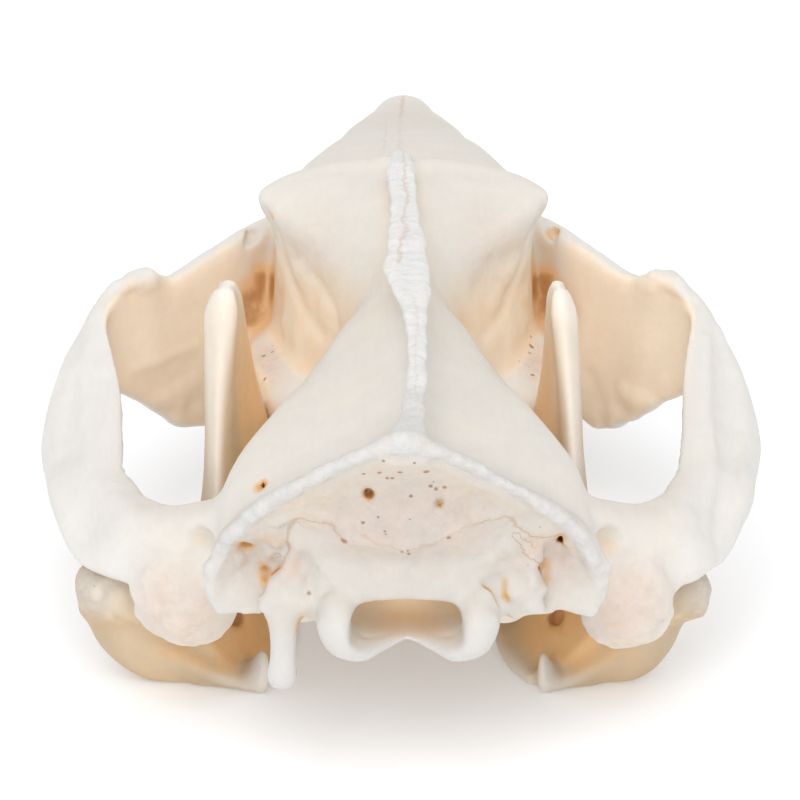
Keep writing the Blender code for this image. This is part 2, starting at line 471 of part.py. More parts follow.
def tooth_rings(spec, gum, up):
    """Levels of a tooth from the root's end to the crown; up is 1 in the lower jaw."""
    _, x, y, length, width, crown, lean, pattern = spec
    sides = tooth_sides(pattern)
    root_size = ROOT_SHARE * ROOT_TAPER

    def level(size_y, size_x, height, shift=0.0, bumps=None):
        return crown_ring(x, y + shift, length * size_y, width * size_x, gum + up * height, sides, bumps)

    rings = [level(root_size, root_size, -root_length(pattern)), level(ROOT_SHARE, ROOT_SHARE, 0.0),
             level(1.0, 1.0, crown * WIDEST_SHARE)]
    if pattern == "grinder":
        rings.append(level(0.8, 0.8, crown, bumps=[up * b for b in GRINDER_CUSPS]))
        return rings, Vector((x, y, gum + up * crown * BASIN_SHARE))
    if pattern == "fang":
        rings.append(level(0.72, 0.74, crown * 0.6, lean * 0.2))
        rings.append(level(0.34, 0.36, crown * 0.9, lean * 0.7))
    elif pattern == "blade":
        rings.append(level(0.5, 0.5, crown * 0.75))
    else:
        rings.append(level(0.62, 0.55, crown * 0.85, lean))
    return rings, Vector((x, y + lean, gum + up * crown))


def socket_rings(spec, gum, up):
    """Root of a tooth grown by the gap, run out past the gum line."""
    _, x, y, length, width, _, _, pattern = spec
    sides = tooth_sides(pattern)
    grow = 2 * GAP / math.cos(math.pi / sides)
    end = ROOT_SHARE * ROOT_TAPER
    return [crown_ring(x, y, length * end + grow, width * end + grow,
                       gum - up * (root_length(pattern) + GAP), sides),
            crown_ring(x, y, length * ROOT_SHARE + grow, width * ROOT_SHARE + grow, gum + up * GAP, sides)]


def make_teeth(specs, jaw, gum, up, side, side_name, mat):
    """Every tooth of one side of one jaw, and the joined cutter for its sockets."""
    cutters = []
    for spec in specs:
        rings, middle = tooth_rings(spec, gum, up)
        name = "%s_%s_%s" % (jaw, spec[0], side_name)
        middle = Vector((middle.x * side, middle.y, middle.z))
        tooth = ring_solid(name, flip_rings(rings, side), middle)
        finish_look(tooth, mat)
        cutters.append(ring_solid("socket", flip_rings(socket_rings(spec, gum, up), side)))
    return join_cutters("sockets", cutters)


def thin_out(obj):
    """Collapse the slivers that the joints and sockets leave on nearly flat ground."""
    mod = obj.modifiers.new("thin_out", "DECIMATE")
    mod.decimate_type = "COLLAPSE"
    mod.ratio = KEPT_SHARE
    mod.use_collapse_triangulate = True


def finish_look(obj, mat):
    """Give the material and round shading."""
    obj.data.materials.clear()
    obj.data.materials.append(mat)
    obj.data.shade_smooth()
    obj.data.set_sharp_from_angle(angle=math.radians(SHARP_ANGLE))


def jaw_rings(rings, side):
    """Carry rings of the lower jaw to their side, settled where that is the right."""
    if side > 0:
        return [[settle_right_jaw(p) for p in ring] for ring in rings]
    return flip_rings(rings, side)


def jaw_solid(name, side):
    """Half of the lower jaw: body, blade, hinge roller and inturned rear corner."""
    rings = []
    for y, inner, outer, low, top in JAW_BODY:
        rings.append([Vector((inner + (outer - inner) * across, y, low + (top - low) * rise))
                      for across, rise in BODY_OUTLINE])
    body = ring_solid(name, jaw_rings(rings, side))
    rings = []
    for z, rear, front, x_rear, x_front, t_rear, t_front in BLADE:
        rings.append([Vector((x_rear + (x_front - x_rear) * mix + t_rear * back + t_front * fore,
                              rear + (front - rear) * share, z))
                      for share, mix, back, fore in BLADE_OUTLINE])
    blade = ring_solid("blade", jaw_rings(rings, side))
    rings = []
    for x, y, z, radius in ROLLER:
        rings.append([Vector((x, y + radius * math.cos(a), z + radius * math.sin(a)))
                      for a in round_turn(ROLLER_SIDES)])
    roller = ring_solid("roller", jaw_rings(rings, side))
    rings = []
    for x, rear, front, low, top in SHELF:
        rings.append([Vector((x, rear + (front - rear) * along, low + (top - low) * rise))
                      for along, rise in SHELF_OUTLINE])
    shelf = ring_solid("shelf", jaw_rings(rings, side))
    combine(body, [blade, shelf, roller], "UNION")
    centre = JAW_PIT[0] if side < 0 else settle_right_jaw(JAW_PIT[0])
    pit = ball("pit", centre, JAW_PIT[1], side, PIT_SEGMENTS)
    return combine(body, [pit], "DIFFERENCE")


def cranium_solid():
    """The whole cranium before its tooth sockets are cut."""
    skull = core_solid()
    extras = [crest_solid()]
    for side in (-1, 1):
        extras.append(arch_solid(side))
        extras.append(ball("condyle", CONDYLE[0], CONDYLE[1], side))
        extras.append(ball("ear_bulb", EAR_BULB[0], EAR_BULB[1], side, EAR_SEGMENTS))
        bulb = POSTGLENOID_LEFT if side < 0 else POSTGLENOID_RIGHT
        extras.append(ball("postglenoid", bulb[0], bulb[1], side))
        extras.append(wing_solid(side))
    extras.append(process_solid("process_left", PROCESS_LEFT))
    extras.append(process_solid("process_right", PROCESS_RIGHT))
    combine(skull, extras, "UNION")
    rooms = [tunnel("brain_room", BRAIN_ROOM, BRAIN_SIDES), tunnel("nose_room", NOSE_ROOM, NOSE_SIDES),
             tunnel("choana_room", CHOANA_ROOM, CHOANA_SIDES)]
    combine(skull, rooms, "DIFFERENCE")
    for side in (-1, 1):
        pits = [ball("pit", centre, radii, side, PIT_SEGMENTS) for centre, radii in PITS]
        combine(skull, pits, "DIFFERENCE")
    return skull


def main():
    """Build every bone and tooth."""
    clear_scene()
    white = make_material("bone_white", BONE_WHITE, 0.55)
    tan = make_material("bone_tan", BONE_TAN, 0.5)
    enamel = make_material("tooth_enamel", ENAMEL, 0.3)
    cranium = cranium_solid()
    for side, side_name in ((-1, "left"), (1, "right")):
        sockets = make_teeth(UPPER_TEETH, "upper", UPPER_GUM, -1, side, side_name, enamel)
        combine(cranium, [sockets], "DIFFERENCE")
        jaw = jaw_solid("lower_jaw_" + side_name, side)
        sockets = make_teeth(LOWER_TEETH, "lower", LOWER_GUM, 1, side, side_name, enamel)
        combine(jaw, [sockets], "DIFFERENCE")
        thin_out(jaw)
        finish_look(jaw, tan)
    thin_out(cranium)
    finish_look(cranium, white)


main()
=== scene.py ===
# %% [markdown]
# # An opossum skull, built from smooth surfaces and one fused skin
#
# A cleaned skull is a shell of thin bone with blades, arches, lumps and holes that run into each
# other with no seam. No single sheet of mesh gives that. So each form is first worked out by itself
# with numpy, as a smooth closed surface through a few measured stations. Then the forms are melted
# together as distances on a fine grid, the hollows are carved out in the same way, and one skin is
# drawn over the result. The teeth are separate surfaces that stand in the bone.

# %% Tools and the frame
import json
import math

import bpy
import numpy as np
import openvdb as vdb
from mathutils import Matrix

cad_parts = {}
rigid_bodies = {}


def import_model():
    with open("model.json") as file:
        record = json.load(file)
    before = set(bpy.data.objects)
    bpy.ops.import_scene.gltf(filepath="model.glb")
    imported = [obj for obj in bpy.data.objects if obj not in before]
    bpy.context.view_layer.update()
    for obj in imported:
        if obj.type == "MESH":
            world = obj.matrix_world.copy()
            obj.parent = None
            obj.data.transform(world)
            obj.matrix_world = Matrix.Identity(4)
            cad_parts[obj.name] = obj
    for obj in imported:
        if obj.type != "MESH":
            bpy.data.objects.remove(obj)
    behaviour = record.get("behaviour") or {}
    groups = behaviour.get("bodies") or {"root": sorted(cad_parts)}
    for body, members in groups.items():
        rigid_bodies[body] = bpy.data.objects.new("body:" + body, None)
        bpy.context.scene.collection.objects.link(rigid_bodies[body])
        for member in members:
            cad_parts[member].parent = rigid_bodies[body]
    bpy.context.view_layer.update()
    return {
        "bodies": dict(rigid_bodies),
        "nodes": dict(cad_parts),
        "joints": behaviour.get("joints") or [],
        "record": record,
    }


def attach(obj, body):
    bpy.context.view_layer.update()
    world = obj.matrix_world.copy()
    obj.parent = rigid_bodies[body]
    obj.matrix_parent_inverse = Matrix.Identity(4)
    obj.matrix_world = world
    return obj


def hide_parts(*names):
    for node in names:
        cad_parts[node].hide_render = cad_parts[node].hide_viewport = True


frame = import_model()
print("nodes in the frame:", len(frame))

# %% [markdown]
# ## One set of millimetres
#
# All stations below are in millimetres: X across, Y forward from the back of the head and Z up from
# the table. The row's own origin is under the middle of the skull, so every finished surface is
# shifted and scaled once, when it becomes a mesh.

# %% Millimetres to the row frame
MM = 0.001
MIDDLE = np.array([-0.52, 61.8, 0.0])


def to_row(points):
    """Row frame point = (point - middle) / 1000."""
    return (np.asarray(points, float) - MIDDLE) * MM


print("front of the nose in the row frame:", to_row([0, 124.9, 28.6]).round(4))

# %% [markdown]
# ## Smooth curves through a few stations
#
# A bone is described by a handful of outlines, one at each station along it. Points between them
# come from a curve that passes through every station with a slope taken from its two neighbours,
# weighted by how far away each lies, so that close stations don't make the curve swing out. The
# same rule runs along the bone and round each outline, and gives a grid of points.

# %% Curves and grids


def spline(table, steps, closed=False):
    """Cubic curve through the rows of a table. Between rows k and k+1, at share t of the gap h:
    p = (2t^3-3t^2+1) p_k + (t^3-2t^2+t) h m_k + (-2t^3+3t^2) p_k+1 + (t^3-t^2) h m_k+1,
    where m_k is the mean slope on both sides, each weighted by the other side's gap."""
    rows = np.asarray(table, float)
    flat = rows.reshape(len(rows), -1, rows.shape[-1])
    ahead = np.roll(flat, -1, axis=0)
    gap = np.linalg.norm(ahead - flat, axis=2).mean(axis=1) + 1e-6
    slope = (ahead - flat) / gap[:, None, None]
    back_gap = np.roll(gap, 1)
    back_slope = np.roll(slope, 1, axis=0)
    here, behind = gap[:, None, None], back_gap[:, None, None]
    mean = (slope * behind + back_slope * here) / (here + behind)
    if not closed:
        mean[0], mean[-1] = slope[0], slope[-2]
    spans = len(rows) if closed else len(rows) - 1
    at = np.arange(spans * steps + (0 if closed else 1)) / steps
    k = np.minimum(at.astype(int), spans - 1)
    t = (at - k)[:, None, None]
    nxt = (k + 1) % len(rows)
    h = gap[k][:, None, None]
    out = ((2 * t**3 - 3 * t**2 + 1) * flat[k] + (t**3 - 2 * t**2 + t) * h * mean[k]
           + (3 * t**2 - 2 * t**3) * flat[nxt] + (t**3 - t**2) * h * mean[nxt])
    return out.reshape((len(at),) + rows.shape[1:])


def closed_tube(grid):
    """Points and four-sided faces of a grid that is closed round its rings, with each end ring
    gathered to its own middle: face (i, j) joins rings i and i+1 between columns j and j+1."""
    first = np.repeat(grid[:1].mean(axis=1, keepdims=True), grid.shape[1], axis=1)
    last = np.repeat(grid[-1:].mean(axis=1, keepdims=True), grid.shape[1], axis=1)
    grid = np.concatenate([first, grid, last])
    rows, columns = grid.shape[:2]
    index = np.arange(rows * columns).reshape(rows, columns)
    right = np.roll(index, -1, axis=1)
    quads = np.stack([index[:-1], right[:-1], right[1:], index[1:]], axis=-1).reshape(-1, 4)
    return grid.reshape(-1, 3), quads


def swept(rings, along, around):
    """A closed surface through rings of points: smooth along the rings, then round each ring."""
    grid = spline(rings, along)
    grid = spline(grid.swapaxes(0, 1), around, closed=True).swapaxes(0, 1)
    return closed_tube(grid)


def mirrored(points):
    """The same points on the other side of the midline."""
    return np.asarray(points, float) * [-1, 1, 1]


def flipped(surface, side):
    """A surface carried to the left where side is -1: x becomes side * x."""
    points, quads = surface
    return points * [side, 1, 1], quads


print("a ring of 4 points becomes", len(spline(np.eye(4, 3), 8, closed=True)), "points")

# %% [markdown]
# ## Melting forms together on a grid
#
# Bones that have grown together meet in soft fillets, not in sharp creases. A grid of distances
# gives that for nothing: each cell holds how far it is from a form, negative inside. The smaller
# of two distances joins two forms, and rounding off the change from one to the other fills the
# crease with a fillet. The larger of one distance and minus the other carves a hollow.

# %% Distance grids
REACH = 6                     # cells of true distance kept on each side of a form
FLATNESS = 0.01               # how far flat places may share larger faces


def room(low, high, step):
    """The cells between two corners: first cell, shape and cell size."""
    first = np.floor(np.array(low) / step).astype(int)
    return tuple(first), tuple(np.ceil(np.array(high) / step).astype(int) - first + 1), step


def distance(surface, cells):
    """Signed distance in mm from a closed surface, at each cell of the room."""
    first, shape, step = cells
    points, quads = surface
    grid = vdb.FloatGrid.createLevelSetFromPolygons(
        points.astype(np.float32), quads=quads.astype(np.uint32),
        transform=vdb.createLinearTransform(voxelSize=step), halfWidth=REACH)
    out = np.full(shape, REACH * step, np.float32)
    grid.copyToArray(out, ijk=first)
    return out


def melt(a, b, soft):
    """Join: min(a, b) - soft * s^2 / 4, where s = max(soft - |a - b|, 0) / soft."""
    share = np.maximum(soft - np.abs(a - b), 0) / soft
    return np.minimum(a, b) - share * share * soft / 4


def carve(a, b, soft):
    """Cut b out of a: the join of the two outsides, turned inside out."""
    return -melt(-a, b, soft)


def settle(field, passes):
    """Soften the field: each cell becomes the mean of itself (half) and its six neighbours."""
    for _ in range(passes):
        for axis in range(3):
            field = 0.5 * field + 0.25 * (np.roll(field, 1, axis) + np.roll(field, -1, axis))
    return field


print("a cube of 2 mm in cells of 0.5 mm:", room((0, 0, 0), (2, 2, 2), 0.5)[1])

# %% [markdown]
# ## From distances back to a surface
#
# The skin is the set of places where the distance is zero. Blender's Remesh modifier could draw one,
# but it knows nothing of how flat a place is. This one gives flat places larger faces, which keeps
# the piece light. The same grid also tells, at any point in space, how far away the bone is.

# %% Skin, band and samples


def skin(field, cells):
    """Points and faces where the distance is zero, facing outward. Flat places get larger faces."""
    first, shape, step = cells
    grid = vdb.FloatGrid(REACH * step)
    grid.transform = vdb.createLinearTransform(voxelSize=step)
    grid.gridClass = vdb.GridClass.LEVEL_SET
    grid.copyFromArray(field.astype(np.float32), ijk=first)
    points, triangles, quads = grid.convertToPolygons(0.0, FLATNESS)
    points = points.astype(float)
    a, b, c = (points[quads[:, k]] for k in range(3))
    if (np.cross(b - a, c - a) * a).sum() < 0:
        triangles, quads = triangles[:, ::-1], quads[:, ::-1]
    return points, triangles.tolist() + quads.tolist()


def band(field, cells, reach):
    """The cells within a reach of the surface: their indices, and their places in mm."""
    first, shape, step = cells
    index = np.nonzero(np.abs(field) < reach)
    return index, (np.stack(index, axis=-1) + first) * step


def sample(field, cells, points):
    """Value of a field at points, mixed from the eight cells round each point."""
    first, shape, step = cells
    at = points / step - first
    low = np.clip(np.floor(at).astype(int), 0, np.array(shape) - 2)
    share = np.clip(at - low, 0, 1)
    out = np.zeros(len(points))
    for corner in np.ndindex(2, 2, 2):
        weight = np.prod(np.where(corner, share, 1 - share), axis=1)
        x, y, z = (low + corner).T
        out += weight * field[x, y, z]
    return out


print("steps in the test grid:", band(np.zeros((2, 2, 2)), ((0, 0, 0), (2, 2, 2), 0.5), 1.0)[1].max())

# %% [markdown]
# ## Natural unevenness
#
# No surface on a bone is perfectly even. Waves of a few sizes, from shallow swells 11 mm long to
# grains of 1 mm, break up the smooth curves. The heights come from whole numbers scrambled by
# fixed arithmetic, so each run gives the same skull. Most of them belong to one place only, such as
# a rim, so a second helper says how far a point lies in a stretch between two ends.

# %% Numpy noise


def clamp(value, low, high):
    """0 below low, 1 above high, and a soft s-curve 3t^2 - 2t^3 between."""
    t = np.clip((value - low) / (high - low), 0, 1)
    return t * t * (3 - 2 * t)


def between(value, low, full, fade, high):
    """1 from full to fade, 0 below low and above high, with a soft s-curve at each end."""
    return clamp(value, low, full) * (1 - clamp(value, fade, high))


def lattice(x, y, z, seed):
    """A fixed value from -1 to 1 for each whole-numbered place."""
    mixed = (x * 73856093) ^ (y * 19349663) ^ (z * 83492791) ^ (seed * 2654435761)
    mixed = (mixed ^ (mixed >> 13)) * 1274126177
    mixed = (mixed ^ (mixed >> 16)) & 0xFFFFFF
    return mixed / 0x7FFFFF - 1.0


def noise(points, size, seed):
    """Smooth noise from -1 to 1 with lumps of a size in mm: lattice values mixed with
    weights 3t^2 - 2t^3 along each axis."""
    at = np.asarray(points, float) / size
    low = np.floor(at).astype(np.int64)
    u, v, w = clamp(at - low, 0, 1).T
    base = low.min(axis=0)
    spans = [np.arange(first, last + 2) for first, last in zip(base, low.max(axis=0))]
    values = lattice(*np.meshgrid(*spans, indexing="ij"), seed)
    i, j, k = (low - base).T
    out = np.zeros(len(at))
    for a, b, c in np.ndindex(2, 2, 2):
        weight = (u if a else 1 - u) * (v if b else 1 - v) * (w if c else 1 - w)
        out += weight * values[i + a, j + b, k + c]
    return out


print("noise at three places:", noise([[0.2, 0, 0], [1, 2.5, 0], [4, 1, 9]], 1.0, 3).round(2))

# %% [markdown]
# ## The brain case and the face
#
# From behind, this part of the skull is a wedge: a low brain case that spreads backward into a
# flaring rear edge, a narrow waist between the eyes and a long snout. It is one skin through
# half outlines that run from the top midline round to the bottom midline, mirrored to full rings.
# The last rings turn in over the rear edge and form the hollow plate at the back of the head. Real
# skulls are never quite even, so one lower corner of that plate is then tucked in a little.

# %% Outlines of the brain case and the face
# Each row: (y, points (x, z) from the top midline round to the bottom midline).
CORE_SECTIONS = (
    (13, ((0, 35.5), (1.6, 34.8), (4.5, 32.8), (8.6, 31.2), (12.8, 29.5), (16.4, 27.2), (18.0, 23.6),
          (17.4, 19.4), (15.2, 16.6), (12, 15.5), (8, 15), (4, 14.5), (0, 14.4))),
    (20, ((0, 35.6), (1.6, 34.9), (4.4, 33.3), (8.4, 31.9), (12.6, 30.2), (16.2, 27.9), (17.3, 24.0),
          (16.4, 20.0), (14.2, 17), (11, 16), (7.5, 15.5), (4, 15.2), (0, 15.2))),
    (28, ((0, 35.8), (1.5, 35.1), (4.0, 33.7), (7.4, 32.3), (10.8, 31.0), (13.2, 29.0), (14.4, 25.0),
          (13.6, 20.8), (11.4, 17.8), (9, 17), (6.2, 16.7), (3.2, 16.5), (0, 16.6))),
    (36, ((0, 36.4), (1.4, 35.7), (3.6, 34.0), (6.2, 32.4), (8.6, 30.9), (10.3, 28.8), (11.0, 25.0),
          (10.2, 21.0), (8.6, 18.9), (7, 18.15), (5, 17.85), (2.6, 17.7), (0, 17.75))),
    (44, ((0, 37.2), (1.3, 36.4), (2.9, 34.9), (4.6, 33.5), (6.3, 31.7), (7.4, 29.0), (7.5, 25.4),
          (7.3, 22.2), (7.4, 20.0), (6.6, 18.8), (4.6, 18.6), (2.3, 19), (0, 19.2))),
    (51, ((0, 38.3), (1.4, 37.4), (3.0, 35.2), (4.4, 32.8), (5.3, 30.2), (5.9, 27.4), (6.6, 24.6),
          (9.0, 21.8), (13.5, 20.3), (13.4, 17.8), (8.0, 17.8), (4, 18.4), (0, 18.8))),
    (57, ((0, 39.6), (2.2, 38.6), (5.0, 36.6), (7.0, 34.2), (7.6, 31), (8.4, 28.0), (10.0, 24.6),
          (11.6, 21.5), (14.7, 20.3), (14.4, 17.0), (9.6, 17.3), (5, 18.1), (0, 18.3))),
    (62, ((0, 40.6), (3.6, 39.6), (8, 37.8), (11.6, 36.3), (11.4, 32.4), (11.4, 28.2), (12.1, 24.4),
          (13.0, 21.3), (16.0, 20.1), (15.4, 16.9), (10.4, 16.7), (5.5, 18.3), (0, 18.8))),
    (67, ((0, 41.0), (5, 40.2), (10.5, 39.2), (15.1, 37.6), (14.0, 33.8), (13.4, 29.4), (13.5, 25.0),
          (14.0, 21.4), (16.6, 19.9), (15.8, 16.7), (10.6, 16.6), (5.6, 18.4), (0, 19.0))),
    (72, ((0, 40.6), (5, 40.1), (9.6, 38.9), (12.6, 37.0), (13.2, 34), (13.6, 30.3), (14.0, 26.0),
          (14.6, 21.8), (16.6, 19.6), (15.5, 16.6), (10.4, 16.6), (5.4, 18.4), (0, 19.0))),
    (79, ((0, 39.5), (4.6, 39.2), (8.4, 38.2), (11.0, 36.2), (12.2, 33.8), (13.0, 31), (13.7, 27.3),
          (14.8, 23.4), (15.2, 19.4), (14.4, 16.6), (9.6, 16.7), (5, 18.3), (0, 18.9))),
    (88, ((0, 37.3), (4, 37.1), (7.2, 36.2), (9.2, 34.8), (10.3, 32.4), (11.0, 29.3), (11.6, 25.5),
          (12.4, 21.9), (12.7, 18.6), (12.2, 16.6), (8.6, 16.7), (4.6, 17.9), (0, 18.4))),
    (98, ((0, 34.8), (3.4, 34.6), (5.8, 33.8), (7.6, 32.4), (8.6, 30.3), (9.2, 27.1), (9.6, 23.7),
          (10.1, 20.3), (10.3, 17.8), (9.9, 16.5), (7.2, 16.5), (3.8, 17), (0, 17.3))),
    (107, ((0, 32.4), (3, 32.2), (5.2, 31.5), (6.8, 30.2), (7.8, 28.2), (8.8, 25.3), (9.8, 22.1),
           (10.4, 19), (10.4, 17.4), (9.8, 16.4), (6.6, 16.4), (3.4, 16.5), (0, 16.6))),
    (115, ((0, 30.5), (2.6, 30.2), (4.4, 29.5), (5.7, 28.2), (6.4, 26.4), (6.7, 23.8), (6.7, 20.9),
           (6.6, 18.8), (6.3, 17.4), (5.7, 16.5), (3.6, 16.4), (1.8, 16.4), (0, 16.4))),
    (121, ((0, 29.2), (2.2, 28.9), (3.6, 28.1), (4.5, 26.8), (4.8, 25), (4.7, 22.6), (4.5, 19.8),
           (4.4, 18.2), (4.2, 17.2), (3.7, 16.5), (2.4, 16.4), (1.2, 16.4), (0, 16.4))),
)
NOSE_RING = ((0, 124.9, 28.6), (1.2, 124.8, 28.4), (2.1, 124.6, 27.7), (2.6, 124.2, 26.6),
             (2.9, 123.6, 25), (3.2, 123.2, 22.6), (3.2, 123.2, 19.8), (3.1, 123.2, 18.4),
             (2.8, 123.2, 17.4), (2.4, 123.1, 16.9), (1.6, 123.1, 16.7), (0.8, 123.1, 16.7),
             (0, 123.1, 16.7))
FLARE_RING = ((0, 6, 37.2), (1.8, 6, 36.2), (5, 7, 33.7), (9.3, 8.2, 31.3), (13.5, 9.6, 28.8),
              (16.9, 10.8, 26.0), (18.4, 11.4, 22.6), (18.2, 11.5, 19.0), (16.4, 11, 16.8),
              (12.4, 10.4, 17.4), (8, 10.4, 16.8), (4, 10.8, 14.8), (0, 11, 14.2))
EDGE_RING = ((0, -1.2, 39.8), (2.4, -0.5, 38.8), (5.2, 1.0, 36.9), (9.8, 3.0, 33.3),
             (13.8, 5.2, 29.8), (17.0, 7.2, 26.0), (18.9, 8.4, 22.4), (19.4, 9.0, 18.9),
             (17.4, 8.5, 17.2), (13, 7.6, 18.2), (8.6, 6.0, 18.0), (4.4, 7.0, 14.8), (0, 8.0, 15.0))
LIP_RING = ((0, -0.9, 38.4), (2.1, -0.2, 37.4), (4.6, 1.2, 35.6), (9.0, 3.2, 32.1),
            (12.8, 5.5, 28.7), (15.9, 7.4, 25.1), (17.7, 8.4, 22), (18.6, 8.8, 19.4),
            (16.9, 8.2, 17.8), (12.8, 7.1, 18.8), (8.4, 5.2, 19.0), (4.4, 6.0, 15.7), (0, 7.0, 15.6))
PLATE_RING = ((0, 1.2, 36.6), (1.9, 1.6, 35.5), (4.1, 2.4, 33.8), (7.9, 4.3, 30.6),
              (11.4, 6.4, 27.4), (14.0, 8.0, 24.2), (15.4, 8.7, 21.8), (15.4, 8.6, 20.0),
              (13.8, 7.6, 19.2), (11, 6.2, 19.4), (8, 5.0, 19.4), (4.4, 4.8, 17.4), (0, 5.6, 16.6))
CENTRE_RING = ((0, 2.6, 31.5), (1.4, 2.8, 30.8), (3.0, 3.2, 29.6), (5.4, 4.0, 27.8),
               (7.6, 5.2, 26), (9.2, 6.3, 24.2), (10.2, 6.8, 22.6), (10.2, 6.6, 21.4),
               (9.0, 5.8, 21.0), (6.8, 4.8, 20.8), (4.6, 4.2, 20.6), (2.4, 4.0, 20.4), (0, 4.2, 20.2))
PLATE_CENTRE = (0, 3.4, 25.5)
NOSE_INNER_SHARE = 0.85       # the nose's end closes over a slightly smaller ring
CORNER_TUCK = 0.6             # mm


def full_ring(half):
    """A half outline followed by its mirror image, back to the start."""
    half = np.asarray(half, float)
    return np.concatenate([half, mirrored(half[-2:0:-1])])


sections = [full_ring([(x, y, z) for x, z in half]) for y, half in reversed(CORE_SECTIONS)]
nose = full_ring(NOSE_RING)
nose_inner = nose.mean(axis=0) + (nose - nose.mean(axis=0)) * NOSE_INNER_SHARE
rear = [full_ring(ring) for ring in (FLARE_RING, EDGE_RING, LIP_RING, PLATE_RING, CENTRE_RING)]
centre = np.repeat([PLATE_CENTRE], len(nose), axis=0)


def tucked(points):
    """The left side of the rear plate lies further in than the right one, most at its corner."""
    shift = CORNER_TUCK * clamp(-points[:, 0], 14, 17.5) * (1 - clamp(points[:, 1], 11, 16))
    return points + shift[:, None] * [1, 0, 0]


core_points, core_quads = swept([nose_inner, nose] + sections + rear + [centre], 12, 5)
core = tucked(core_points), core_quads
print("brain case and face:", len(core[0]), "points")

# %% [markdown]
# ## The crest along the midline
#
# The jaw muscles of an old male pull up a tall thin plate along the top of the skull. Its rim is
# thick, flat and rough, where the two muscle fields met. Each edge of the rim has its own line,
# because this one is widest above the waist and stands a little to the right behind it.

# %% Crest
# Each row: (y, left edge, right edge, top, foot).
CREST_STATIONS = (
    (70, -0.7, 0.3, 41.0, 38.9), (67.5, -1.0, 0.6, 42.5, 38.9), (65, -1.4, 0.9, 43.0, 38.6),
    (62, -1.7, 1.1, 42.9, 38.2), (56, -1.6, 1.55, 42.4, 37.4), (48.6, -1.6, 1.8, 41.8, 36.3),
    (42, -1.85, 2.4, 41.2, 35.3), (39, -2.3, 2.6, 41.0, 35.0), (35.7, -1.6, 2.7, 40.75, 34.8),
    (32.4, -0.8, 2.6, 40.5, 34.6), (28, -0.15, 2.35, 40.2, 34.4), (22.8, 0.15, 2.2, 40.0, 34.2),
    (16.2, 0.15, 2.2, 39.75, 34.2), (9.6, -0.1, 1.9, 39.6, 34.6), (5, -0.5, 2.0, 39.7, 35.6),
    (2, -0.9, 1.9, 39.8, 36.4), (-0.7, -0.6, 0.8, 39.4, 38.2))


def crest_surface():
    """Rings across the midline, from the top: a shallow groove, a rounded rim that overhangs, a thin
    waist halfway down and a foot that flares out over the brain case."""
    rings = []
    for y, left, right, top, foot in CREST_STATIONS:
        middle, half, rise = (left + right) / 2, (right - left) / 2, top - foot
        drop = min(rise, 4) / 4
        side = [(middle, 0.0, top - 0.2), (middle, half * 0.55, top),
                (middle, half * 0.95, top - 0.3 * drop), (middle, half, top - 0.8 * drop),
                (middle, half * 0.5 + 0.1, top - 1.5 * drop),
                (middle * 0.7, 0.5, top - 0.6 * rise), (middle * 0.4, 1.1, foot + 0.1 * rise),
                (middle * 0.3, 2.0, foot - 0.9)]
        ring = side + [(m, -a, b) for m, a, b in reversed(side[1:])]
        rings.append([(m + a, y, b) for m, a, b in ring])
    return swept(rings, 8, 3)


crest = crest_surface()
print("crest:", len(crest[0]), "points")

# %% [markdown]
# ## The cheek arches
#
# Each arch leaves the skull beside the ear, bows out round the jaw muscle and runs in to the face
# below the eye, where it turns into a broad plate. It is a ribbon with an outline of eight points.
# The right arch of this skull stands out a little less than the left one, so both come from the
# same stations and a short table for each draws its outer face in where the real one is flatter.

# %% Cheek arches
# Each row: (top edge, bulge, lower edge, inward direction in plan, thickness).
ARCH_STATIONS = (
    ((13.0, 16.5, 24.5), (13.0, 15.8, 20.0), (13.0, 16.5, 15.5), (0.0, 1.0), 6.0),
    ((18.4, 17.2, 24.0), (18.4, 16.6, 20.0), (18.4, 17.4, 14.8), (0.0, 1.0), 7.4),
    ((22.6, 20.6, 21.8), (22.9, 18.8, 18.5), (22.9, 19.5, 14.4), (0.0, 1.0), 7.4),
    ((26.2, 24.6, 20.9), (28.2, 21.6, 18.0), (28.2, 22.0, 14.4), (-0.25, 0.97), 7.4),
    ((27.9, 29.1, 20.6), (32.7, 25.3, 16.0), (31.8, 25.6, 14.4), (-0.6, 0.8), 6.0),
    ((29.2, 33.0, 20.9), (35.5, 31.5, 19.0), (33.9, 31.2, 14.6), (-0.95, 0.3), 4.8),
    ((29.6, 39.0, 22.6), (36.4, 38.5, 18.6), (35.2, 38.5, 14.2), (-1.0, 0.0), 3.5),
    ((30.2, 45.0, 24.4), (37.1, 45.0, 19.8), (35.8, 45.0, 14.4), (-0.99, -0.1), 3.4),
    ((31.2, 51.0, 26.8), (36.3, 51.0, 23.0), (35.0, 51.0, 15.8), (-0.97, -0.25), 3.2),
    ((32.0, 57.0, 29.2), (34.7, 56.5, 24.4), (32.8, 56.5, 19.8), (-0.9, -0.43), 3.0),
    ((29.8, 60.6, 31.0), (31.8, 60.5, 23.5), (29.0, 59.5, 17.7), (-0.75, -0.66), 2.8),
    ((27.2, 62.4, 31.0), (28.4, 63.0, 21.5), (26.4, 62.4, 14.4), (-0.65, -0.76), 2.8),
    ((25.6, 64.5, 29.4), (25.8, 66.2, 20.5), (24.2, 65.2, 12.6), (-0.65, -0.76), 2.8),
    ((21.6, 69.5, 30.2), (22.6, 70.4, 20.5), (21.6, 68.6, 11.6), (-0.6, -0.8), 3.0),
    ((17.0, 75.0, 31.2), (18.2, 75.5, 23.0), (17.8, 73.0, 16.6), (-0.6, -0.8), 3.2),
    ((12.5, 79.0, 31.6), (12.5, 80.0, 24.5), (12.0, 78.5, 20.6), (-0.5, -0.86), 3.0))
